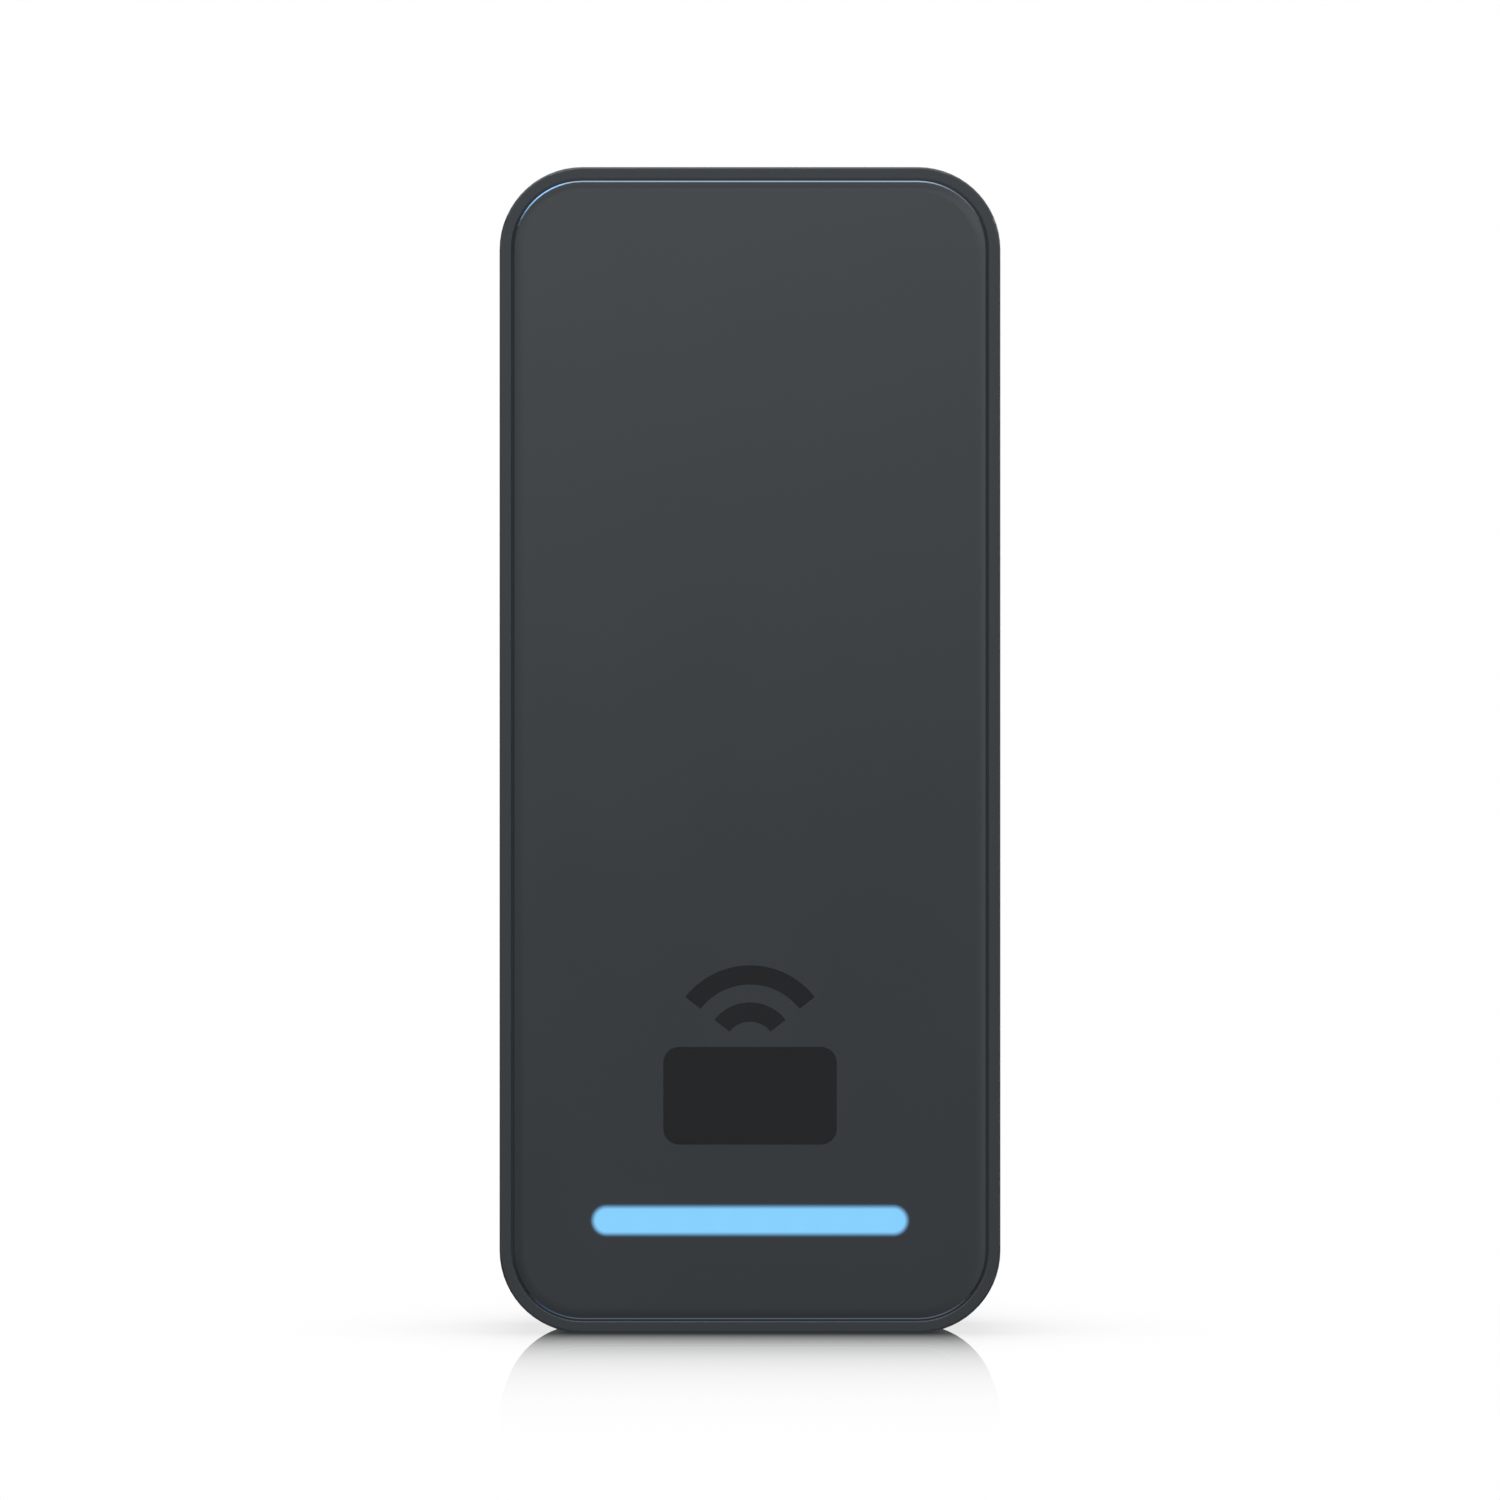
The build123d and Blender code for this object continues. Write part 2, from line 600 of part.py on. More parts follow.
def status_leds():
    """The row of LEDs behind the light bar."""
    start = -LED_PITCH * (LED_COUNT - 1) / 2
    width, height, thickness = LED_SIZE
    spots = [(start + LED_PITCH * n, BAR_Z) for n in range(LED_COUNT)]
    return [block(spot, (width, height), BOARD_FRONT, BOARD_FRONT + thickness) for spot in spots]


def heat_sink():
    """Finned aluminium block bonded to the processor."""
    centre, (width, height, thickness) = HEAT_SINK
    far = BOARD_REAR - PROCESSOR[1][2] - THERMAL_PAD_T
    sink = block(centre, (width, height), far - thickness, far)
    step = width / (SINK_FINS - 0.5)
    for n in range(SINK_FINS - 1):
        x = centre[0] - width / 2 + step * (n + 0.75)
        sink -= block((x, centre[1]), (step / 2, height), far - thickness, far - SINK_BASE_T)
    return sink


def thermal_pad():
    """Soft pad between the processor and the heat sink."""
    far = BOARD_REAR - PROCESSOR[1][2]
    return block(PROCESSOR[0], THERMAL_PAD_SIZE, far - THERMAL_PAD_T, far)


def radio_shield():
    """Drawn metal can over the radio."""
    centre, (width, height, thickness) = RADIO_SHIELD
    near = BOARD_REAR - thickness
    can = block(centre, (width, height), near, BOARD_REAR)
    can = fillet(can.edges().group_by(Axis.Y)[-1], SHIELD_EDGE_R)
    inside = (width - 2 * SHEET_T, height - 2 * SHEET_T)
    return can - block(centre, inside, near + SHEET_T, BOARD_REAR)


def capacitors():
    """Round electrolytic capacitors on square bases."""
    cans = []
    for centre in CAPACITORS:
        base = block(centre, (CAPACITOR_BASE, CAPACITOR_BASE), BOARD_REAR - CAPACITOR_BASE_T, BOARD_REAR)
        can = disc(centre, CAPACITOR_R, BOARD_REAR - CAPACITOR_T, BOARD_REAR - CAPACITOR_BASE_T)
        cans.append(base + fillet(can.edges().group_by(Axis.Y)[-1], CAPACITOR_EDGE_R))
    return cans


def power_inductors():
    """Square inductors with a round core showing."""
    cores = []
    for centre, (width, height, thickness) in INDUCTORS:
        near = BOARD_REAR - thickness
        inner, outer = [share * width for share in INDUCTOR_GROOVE]
        floor = near + INDUCTOR_GROOVE_DEPTH
        groove = disc(centre, outer, near, floor) - disc(centre, inner, near, floor)
        cores.append(block(centre, (width, height), near, BOARD_REAR) - groove)
    return cores


def small_passives():
    """Small resistors and capacitors, in groups of two columns."""
    items = []
    for x, z in PASSIVE_GROUPS:
        for n in range(PASSIVES_IN_A_GROUP):
            place = (x + PASSIVE_STEP[0] * (n % 2), z - PASSIVE_STEP[1] * (n // 2))
            items.append((place, PASSIVE_SIZE))
    return chips(items)


# ---- Network jack ----------------------------------------------------------------------------
def jack_block(inset, bottom, top):
    """A box the size of the jack, moved inwards on its four long sides."""
    width = JACK_WIDTH - 2 * inset
    centre = (0, (bottom + top) / 2)
    return block(centre, (width, top - bottom), JACK_BACK + inset, JACK_FRONT - inset)


def jack_shell():
    """Folded sheet round the jack, open at the mouth."""
    top = JACK_BOTTOM + JACK_LENGTH
    return jack_block(0, JACK_BOTTOM, top) - jack_block(SHEET_T, JACK_BOTTOM, top - SHEET_T)


def jack_insert():
    """Moulded body with the plug's cavity and its latch slot."""
    top = JACK_BOTTOM + JACK_LENGTH - SHEET_T - FIT_GAP
    body = jack_block(SHEET_T + FIT_GAP, JACK_BOTTOM + 0.2, top)
    middle = (0, JACK_BOTTOM + PLUG_LENGTH / 2)
    body -= block(middle, (PLUG_WIDTH, PLUG_LENGTH), PLUG_BACK, PLUG_FRONT)
    return body - block(middle, (LATCH_WIDTH, PLUG_LENGTH), LATCH_BACK, PLUG_BACK)


def jack_contacts():
    """Eight sprung wires that slant across the plug's cavity."""
    root = JACK_BOTTOM + CONTACT_ROOT
    tip = JACK_BOTTOM + CONTACT_REACH
    front = PLUG_FRONT
    wire = side_profile(
        (front, root),
        (front, root + 1.5),
        (front - CONTACT_DROP + 0.3, tip),
        (front - CONTACT_DROP, tip - 0.1),
        (front - 0.3, root + 1.4),
        (front - 0.3, root),
    )
    middle = (CONTACT_COUNT - 1) / 2
    return [across(wire, CONTACT_PITCH * (n - middle), CONTACT_WIDTH) for n in range(CONTACT_COUNT)]


def jack_seal():
    """Rubber ring between the jack's mouth and the pocket."""
    bottom, top = POCKET_TOP + WALL_T, JACK_BOTTOM
    hole_size = (PLUG_WIDTH + 0.8, top - bottom)
    hole = block((0, (bottom + top) / 2), hole_size, LATCH_BACK - 0.2, PLUG_FRONT + 0.3)
    return jack_block(0.3, bottom, top) - hole


# ---- Buzzer, reset and tamper ----------------------------------------------------------------
def buzzer():
    """Square sounder with a round sound hole."""
    near = BOARD_REAR - BUZZER_T
    body = block(BUZZER_XZ, (BUZZER_SIZE, BUZZER_SIZE), near, BOARD_REAR)
    return body - disc(BUZZER_XZ, BUZZER_HOLE_R, near, near + 1)


def buzzer_gasket():
    """Rubber sleeve that leads the sound to the cover."""
    near, far = COVER_INNER + FILM_T, BOARD_REAR - BUZZER_T
    return disc(BUZZER_XZ, SLEEVE_R, near, far) - disc(BUZZER_XZ, SLEEVE_R - SLEEVE_WALL, near, far)


def buzzer_membrane():
    """Water-tight acoustic film behind the cover's sound slots."""
    return disc(BUZZER_XZ, SLEEVE_R, COVER_INNER, COVER_INNER + FILM_T)


def tact_switch(centre):
    """A small push switch, with a round actuator facing the wall."""
    near = BOARD_REAR - SWITCH_T
    body = block(centre, (SWITCH_SIZE, SWITCH_SIZE), near, BOARD_REAR)
    return body + disc(centre, ACTUATOR_R, near - ACTUATOR_T, near)


def reset_button():
    """Soft button: cap, retaining flange and a stem that reaches its switch."""
    actuator = BOARD_REAR - SWITCH_T - ACTUATOR_T
    flange_near = COVER_INNER + 0.1
    flange_far = flange_near + RESET_FLANGE_T
    cap = disc(RESET_XZ, RESET_R, COVER_BACK - RESET_PROUD, flange_near + 0.1)
    cap = fillet(cap.edges().group_by(Axis.Y)[-1], RESET_PROUD)
    flange = disc(RESET_XZ, RESET_R + RESET_FLANGE, flange_near, flange_far)
    return cap + flange + disc(RESET_XZ, RESET_STEM_R, flange_far, actuator - RESET_TRAVEL - 0.05)


def tamper_plunger():
    """Sprung pin that the wall plate holds in."""
    actuator = BOARD_REAR - SWITCH_T - ACTUATOR_T
    pin = disc(TAMPER_XZ, TAMPER_R, TAMPER_TIP, TAMPER_COLLAR)
    pin = fillet(pin.edges().group_by(Axis.Y)[-1], 0.7)
    pin += disc(TAMPER_XZ, TAMPER_COLLAR_R, TAMPER_COLLAR, TAMPER_COLLAR + COLLAR_T)
    return pin + disc(TAMPER_XZ, TAMPER_STEM_R, TAMPER_COLLAR + COLLAR_T, actuator - FIT_GAP)


def tamper_spring():
    """Coil spring between the plunger's collar and the board."""
    room = SPRING_WIRE_R + SPRING_GAP
    near = TAMPER_COLLAR + COLLAR_T + room
    far = BOARD_REAR - room
    path = Helix(pitch=(far - near) / SPRING_TURNS, height=far - near, radius=TAMPER_COLLAR_R - room)
    section = Plane(origin=path @ 0, z_dir=path % 0) * Circle(SPRING_WIRE_R)
    coil = sweep(section, path=path, is_frenet=True)
    x, z = TAMPER_XZ
    return Plane(origin=(x, -near, z), x_dir=(1, 0, 0), z_dir=(0, -1, 0)) * coil


# ---- Rear cover ------------------------------------------------------------------------------
def label_outline(grow=0.0):
    """The blank rating label's outline, grown outwards for its recess."""
    width, height = LABEL_SIZE
    return Pos(0, LABEL_Z) * RectangleRounded(width + 2 * grow, height + 2 * grow, 0.8)


def rating_label():
    """Blank foil label in its shallow recess."""
    return slab(label_outline(), COVER_BACK + LABEL_RECESS - LABEL_T, COVER_BACK + LABEL_RECESS)


def vent_membrane():
    """Breathing film over the cover's pressure vent."""
    return disc(VENT_XZ, VENT_R, COVER_BACK + FILM_T, COVER_BACK + 2 * FILM_T)


def open_box(centre, inner, far, floor_t):
    """A pocket sunk into the cover: returns the walls' block and the space inside it."""
    width, height = inner
    walls = block(centre, (width + 2 * WALL_T, height + 2 * WALL_T), COVER_BACK, far + floor_t)
    return walls, block(centre, inner, 0, far)


def hook(centre_x):
    """Returns the cover's hook block and the space that the plate's curl needs."""
    lip = radians(HOOK_LIP_ANGLE)
    body = side_profile(
        (COVER_BACK, HOOK_BLOCK_BOTTOM),
        (COVER_BACK, HOOK_BLOCK_TOP),
        (HOOK_BLOCK_DEPTH, HOOK_BLOCK_TOP),
        (HOOK_BLOCK_DEPTH, HOOK_BLOCK_BOTTOM),
    )
    reach = 2 * HOOK_OUTER_R
    fan = side_profile(
        (PIVOT_DEPTH, PIVOT_Z),
        (PIVOT_DEPTH - reach * cos(lip), PIVOT_Z + reach * sin(lip)),
        (PIVOT_DEPTH, PIVOT_Z + reach),
    )
    centre = Pos(-PIVOT_DEPTH, PIVOT_Z)
    lip_ring = (centre * Circle(HOOK_OUTER_R)) & fan
    space = centre * Circle(HOOK_R)
    space += side_profile(
        (0, WEB_SPACE_BOTTOM), (0, PIVOT_Z), (PIVOT_DEPTH, PIVOT_Z), (PIVOT_DEPTH, WEB_SPACE_BOTTOM)
    )
    solid = across(body, centre_x, HOOK_BLOCK_LENGTH) + across(lip_ring, centre_x, CURL_LENGTH)
    return solid, across(space, centre_x, CURL_LENGTH + 0.6)


def rear_cover():
    """Moulded back: cable pocket, hooks, lock well, screw-head channels and button openings."""
    cover = slab(case_outline(REAR_WALL + COVER_GAP), COVER_BACK, COVER_INNER)
    spaces = []
    pocket_mid = (0, (POCKET_BOTTOM + POCKET_TOP) / 2)
    boxes = [open_box(pocket_mid, (2 * POCKET_HALF, POCKET_TOP - POCKET_BOTTOM), POCKET_FLOOR, WALL_T)]
    for side in SIDES:
        middle = (0, side * (CHANNEL_NEAR_Z + CHANNEL_FAR_Z) / 2)
        size = (2 * CHANNEL_HALF, CHANNEL_FAR_Z - CHANNEL_NEAR_Z)
        boxes.append(open_box(middle, size, CHANNEL_FLOOR, WALL_T))
        boxes.append(hook(side * HANGER_X))
    well_walls = block(
        (0, (WELL_BOTTOM - WELL_FLOOR_T + WELL_TOP + WALL_T) / 2),
        (WELL_WIDTH + 2 * WALL_T, WELL_TOP + WALL_T - WELL_BOTTOM + WELL_FLOOR_T),
        COVER_BACK,
        WELL_REACH + WALL_T,
    )
    well_mid = (0, (WELL_BOTTOM + WELL_TOP) / 2)
    boxes.append((well_walls, block(well_mid, (WELL_WIDTH, WELL_TOP - WELL_BOTTOM), 0, WELL_REACH)))
    for walls, space in boxes:
        cover += walls
        spaces.append(space)
    for centre in COVER_SCREWS:
        cover += disc(centre, BOSS_R, COVER_INNER, PAD_DEPTH)
        spaces.append(disc(centre, HEAD_R + 0.2, 0, HEAD_SEAT))
        spaces.append(disc(centre, SCREW_HOLE_R, 0, PAD_DEPTH))
    cover += disc(TAMPER_XZ, TAMPER_R + 1.4, COVER_INNER, TAMPER_TUBE_END)
    spaces.append(disc(TAMPER_XZ, TAMPER_R + 0.05, 0, TAMPER_TUBE_END))
    spaces.append(disc(RESET_XZ, RESET_R + 0.1, 0, COVER_INNER))
    spaces.append(disc(RESET_XZ, RESET_R + 1.2, 0, COVER_BACK + 0.5))
    for n in (-1, 0, 1):
        centre = (BUZZER_XZ[0], BUZZER_XZ[1] + n * SOUND_SLOT_PITCH)
        spaces.append(block(centre, SOUND_SLOT, 0, COVER_INNER))
    spaces.append(disc(VENT_XZ, VENT_R + 0.1, 0, COVER_BACK + 2 * FILM_T))
    spaces.append(block(VENT_XZ, (2.4, 0.8), 0, COVER_INNER))
    spaces.append(slab(label_outline(LABEL_GAP), 0, COVER_BACK + LABEL_RECESS))
    spaces += [disc(centre, EJECTOR_R, 0, COVER_BACK + 0.1) for centre in EJECTOR_MARKS]
    spaces.append(plug_way())
    spaces.append(upright(LOCK_SCREW_R + 0.25, LOCK_BOSS_TOP - 1, WELL_BOTTOM + 0.5))
    return cover - spaces


def plug_way():
    """The opening in the pocket's top wall that the plug passes through."""
    bottom, top = POCKET_TOP - 0.5, POCKET_TOP + WALL_T + 0.1
    size = (PLUG_WIDTH + 0.6, top - bottom)
    return block((0, (bottom + top) / 2), size, LATCH_BACK - 0.3, POCKET_FLOOR)


def cover_screws():
    """The screws that hold the rear cover to the case."""
    return [pan_screw(c, HEAD_SEAT, SCREW_R, HEAD_R, HEAD_T, SCREW_END) for c in COVER_SCREWS]


def housing_seal():
    """Silicone ring squeezed between the cover and the case's land."""
    ring = case_outline(REAR_WALL + 0.2) - case_outline(SIDE_WALL - 0.1)
    return slab(ring, COVER_INNER, SEAL_LAND)


# ---- Lock screw ------------------------------------------------------------------------------
def lock_insert():
    """Brass insert that the lock screw runs in."""
    bottom = LOCK_BOSS_TOP - INSERT_LENGTH
    insert = upright(INSERT_R, bottom, LOCK_BOSS_TOP)
    low, high = bottom + 0.4 * INSERT_LENGTH, bottom + 0.6 * INSERT_LENGTH
    insert -= upright(INSERT_R + 1, low, high) - upright(INSERT_R - 0.3, low, high)
    return insert - upright(LOCK_BORE_R, bottom, LOCK_BOSS_TOP)


def lock_screw():
    """Headless set screw with a six-lobed recess below and a bore for its nose above."""
    screw = upright(LOCK_SCREW_R, LOCK_SCREW_BOTTOM, LOCK_SCREW_TOP)
    screw = chamfer(screw.edges().group_by(Axis.Z)[-1], 0.25)
    screw = chamfer(screw.edges().group_by(Axis.Z)[0], 0.2)
    recess = extrude(Plane(origin=(0, -LOCK_DEPTH, LOCK_SCREW_BOTTOM)) * star(0.95), 1.6)
    neck_bottom = LOCK_SCREW_TOP - LOCK_NECK_LENGTH - 0.1
    return screw - recess - upright(LOCK_NECK_R + RUNNING_GAP, neck_bottom, LOCK_SCREW_TOP)


def lock_screw_tip():
    """Nylon nose that seats in the screw and slides into the plate's tab without turning."""
    nose = upright(LOCK_NOSE_R, LOCK_SCREW_TOP + FIT_GAP, LOCK_TIP_TOP)
    nose = chamfer(nose.edges().group_by(Axis.Z)[-1], 0.3)
    return nose + upright(LOCK_NECK_R, LOCK_SCREW_TOP - LOCK_NECK_LENGTH, LOCK_SCREW_TOP + FIT_GAP)


# ---- Everything, by node name ----------------------------------------------------------------
NODES = {
    "wall_plate": wall_plate,
    "wall_gasket": wall_gasket,
    "front_housing": front_housing,
    "face_panel": front_panel,
    "panel_adhesive": panel_adhesive,
    "front_mark": front_mark,
    "light_bar_lens": light_bar_lens,
    "light_bar_reflector": light_bar_reflector,
    "antenna_board": antenna_board,
    "antenna_coil": antenna_coil,
    "ferrite_sheet": ferrite_sheet,
    "antenna_contacts": antenna_contacts,
    "main_board": main_board,
    "board_screws": board_screws,
    "status_leds": status_leds,
    "processor": lambda: chips([PROCESSOR]),
    "thermal_pad": thermal_pad,
    "heat_sink": heat_sink,
    "memory_chips": lambda: chips(MEMORY_CHIPS),
    "reader_chip": lambda: chips([READER_CHIP]),
    "radio_shield": radio_shield,
    "power_transformer": lambda: chips([TRANSFORMER]),
    "network_magnetics": lambda: chips([MAGNETICS]),
    "power_inductors": power_inductors,
    "capacitors": capacitors,
    "crystals": lambda: chips(CRYSTALS),
    "small_passives": small_passives,
    "jack_shell": jack_shell,
    "jack_insert": jack_insert,
    "jack_contacts": jack_contacts,
    "jack_seal": jack_seal,
    "buzzer": buzzer,
    "buzzer_gasket": buzzer_gasket,
    "buzzer_membrane": buzzer_membrane,
    "reset_switch": lambda: tact_switch(RESET_XZ),
    "reset_button": reset_button,
    "tamper_switch": lambda: tact_switch(TAMPER_XZ),
    "tamper_spring": tamper_spring,
    "tamper_plunger": tamper_plunger,
    "rear_cover": rear_cover,
    "housing_seal": housing_seal,
    "cover_screws": cover_screws,
    "vent_membrane": vent_membrane,
    "rating_label": rating_label,
    "lock_insert": lock_insert,
    "lock_screw": lock_screw,
    "lock_screw_tip": lock_screw_tip,
}


def main():
    """Writes one STEP file for each node."""
    os.makedirs("parts", exist_ok=True)
    for name, make in NODES.items():
        shape = make()
        solids = shape if isinstance(shape, list) else [shape]
        solids = [solid for item in solids for solid in item.solids()]
        result = Compound(children=solids) if len(solids) > 1 else solids[0]
        export_step(result, f"parts/{name}.step")


main()
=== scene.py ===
"""Looks of the wall card reader: materials, soft pieces, light, floor and camera round the CAD frame.

Metres, +X right, +Y into the wall, +Z up. Tones are written as sRGB values from 0 to 255.
"""

import json
from math import copysign, cos, pi, sin

import bmesh
import bpy
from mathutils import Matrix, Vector, noise

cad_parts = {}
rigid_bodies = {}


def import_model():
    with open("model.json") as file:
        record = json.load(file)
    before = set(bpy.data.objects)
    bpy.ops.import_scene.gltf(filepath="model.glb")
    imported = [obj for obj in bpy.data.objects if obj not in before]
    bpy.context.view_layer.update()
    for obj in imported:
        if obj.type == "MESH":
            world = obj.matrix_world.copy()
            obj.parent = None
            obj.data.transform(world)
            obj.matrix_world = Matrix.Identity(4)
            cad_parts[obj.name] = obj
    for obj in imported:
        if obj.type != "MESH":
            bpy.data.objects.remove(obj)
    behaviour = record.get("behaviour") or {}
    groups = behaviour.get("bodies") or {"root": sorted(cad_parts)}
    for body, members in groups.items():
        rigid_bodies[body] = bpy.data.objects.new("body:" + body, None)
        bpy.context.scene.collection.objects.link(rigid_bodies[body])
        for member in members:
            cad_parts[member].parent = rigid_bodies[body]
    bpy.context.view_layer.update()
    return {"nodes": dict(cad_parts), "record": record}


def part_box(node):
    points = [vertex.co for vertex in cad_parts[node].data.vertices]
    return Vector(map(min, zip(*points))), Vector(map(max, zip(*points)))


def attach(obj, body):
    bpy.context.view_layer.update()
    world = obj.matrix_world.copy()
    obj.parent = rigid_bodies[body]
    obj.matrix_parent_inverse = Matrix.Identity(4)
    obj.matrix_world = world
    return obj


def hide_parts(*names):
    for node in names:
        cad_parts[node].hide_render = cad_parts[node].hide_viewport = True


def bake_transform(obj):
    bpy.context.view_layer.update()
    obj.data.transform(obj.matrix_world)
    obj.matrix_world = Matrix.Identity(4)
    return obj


for leftover in list(bpy.data.objects):
    bpy.data.objects.remove(leftover)
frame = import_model()
NODES = frame["nodes"]
MM = 0.001

# ---- Measures shared with the CAD, in metres ---------------------------------------------------
CASE_LOW, CASE_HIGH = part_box("front_housing")
FRONT_Y = CASE_LOW.y
BAR_Z = -53.35 * MM
BAR_HALF_STRAIGHT = 16.25 * MM
BAR_RADIUS = 1.75 * MM
CASE_CORNER = 9.35 * MM
CASE_RIM = 1.3 * MM
PANEL_DROP = 0.38 * MM  # from the rim's face to where the painted fill light in the gap round the panel starts
FOAM_CORNER = 5.5 * MM
FOAM_WIDTH = 3.5 * MM
SEAL_CORNER = 7.65 * MM
SEAL_WIDTH = 1.1 * MM
MOUTH_CORNER = 0.4 * MM
PLUG_HALF_WIDTH = 6.35 * MM
PLUG_CORNER = 0.3 * MM
PLUG_FROM_FRONT = 0.9 * MM
PLUG_FROM_BACK = 1.1 * MM
SLEEVE_OUTER = 3.9 * MM
SLEEVE_INNER = 2.9 * MM
SPRING_RADIUS = 2.85 * MM
WIRE_RADIUS = 0.2 * MM
SPRING_TURNS = 4.5
SPRING_END_TURNS = 0.75

# ---- Tones that are tuned together with the light ----------------------------------------------
PANEL_TONE_LOW = (60, 64, 67)
PANEL_TONE_HIGH = (62, 66, 69)
PANEL_ROUGHNESS = 0.2
CASE_TONE = (61, 64, 67)
# colour of the painted fill light in the gap round the panel and on the case's underside
PAINTED_FILL_GREY = (36, 40, 43)
# strength of the painted floor bounce light on the case's downward faces
UNDER_LIGHT = 1.2
# painted shade and highlight on the panel's rolled edge, set by which way its normal leans
ROLL_PAINTED_SHADE_TONE = (24, 26, 28)
ROLL_SHADE = 3.2
ROLL_SHADE_MOST = 0.32
ROLL_PAINTED_HIGHLIGHT_TONE = (112, 117, 122)
ROLL_SHINE = 0.9
ROLL_SHINE_MOST = 0.16
# painted glint along the panel's bevelled edge, glowing in place of a reflection
GLINT_SKY = (168, 188, 216)
GLINT_CORNER_SKY = (136, 182, 232)
GLINT_TOP = 0.85
GLINT_CORNER = 0.55
GLINT_BOTTOM = 0.2
LENS_BLUE = (135, 208, 253)
LENS_RIM = (76, 102, 128)
# blue of the painted glow that the lit bar casts onto the panel
PAINTED_LENS_SPILL = (92, 150, 205)
STUDIO_COLOUR = (0.95, 0.99, 1.03, 1)
WHITE = (1.0, 1.0, 1.0)
COOL_WHITE = (0.82, 0.91, 1.0)
WARM_WHITE = (1.0, 0.99, 0.97)
STUDIO_FRONT = 0.58
STUDIO_REAR = 0.10
CARD_DISTANCE = 1.5
CARD_LEVEL = 0.95
CARD_LEAN = 0.2
CARD_DARK_AT = -0.06
CARD_BRIGHT_AT = 0.2
CARD_TOP_FADE = (0.36, 0.49)
FLOOR_FADE = 35 * MM
FLOOR_GLOSS = 1.38
FLOOR_IOR = 1.5
FLOOR_INSET = 8 * MM  # how far inside the case's sides the mirror starts to fade
FLOOR_SHADE = 0.15
SHADE_BESIDE = 9 * MM
SHADE_BEFORE = 14 * MM
SHADE_BEHIND = 22 * MM
SHADE_REACH = 120 * MM
FLOOR_BOUNCE = 0.11
FLOOR_CLEARANCE = 0.02 * MM  # keeps the floor and the case's underside from sharing a plane

# ---- Camera ------------------------------------------------------------------------------------
CAMERA_DISTANCE = 1.2
FRAME_WIDTH = 170.06 * MM  # width of the picture at the reader's front face
SENSOR = 36.0


def tone(red, green, blue):
    """An sRGB colour, 0 to 255 a channel, as linear RGBA."""
    values = [c / 255 for c in (red, green, blue)]
    linear = [v / 12.92 if v <= 0.04045 else ((v + 0.055) / 1.055) ** 2.4 for v in values]
    return (*linear, 1.0)


# ---- Node builders -----------------------------------------------------------------------------
class Graph:
    """A node tree being built, with short calls for the nodes used here."""

    def __init__(self, tree):
        self.tree = tree

    def plug(self, socket, value):
        """Links an output to the socket, or sets the socket to a plain value."""
        if isinstance(value, bpy.types.NodeSocket):
            self.tree.links.new(value, socket)
        else:
            socket.default_value = value

    def add(self, kind, inputs=None, **settings):
        """A new node with its settings made and its inputs plugged."""
        node = self.tree.nodes.new(kind)
        for key, value in settings.items():
            setattr(node, key, value)
        for key, value in (inputs or {}).items():
            self.plug(node.inputs[key], value)
        return node

    def split(self, vector):
        """The three parts of a vector."""
        return self.add("ShaderNodeSeparateXYZ", {0: vector}).outputs

    def calc(self, operation, *values, clamp=False):
        """The result of one sum on numbers or outputs."""
        inputs = dict(enumerate(values))
        return self.add("ShaderNodeMath", inputs, operation=operation, use_clamp=clamp).outputs[0]

    def remap(self, value, low, high, to_low, to_high, smooth=False):
        """The value carried from the range low to high over to to_low to to_high, and held there."""
        kind = "SMOOTHSTEP" if smooth else "LINEAR"
        inputs = {0: value, 1: low, 2: high, 3: to_low, 4: to_high}
        return self.add("ShaderNodeMapRange", inputs, interpolation_type=kind).outputs[0]

    def blend(self, factor, first, second):
        """A colour between first and second."""
        node = self.add("ShaderNodeMix", data_type="RGBA")
        self.plug(node.inputs[0], factor)
        self.plug(node.inputs[6], first)
        self.plug(node.inputs[7], second)
        return node.outputs[2]


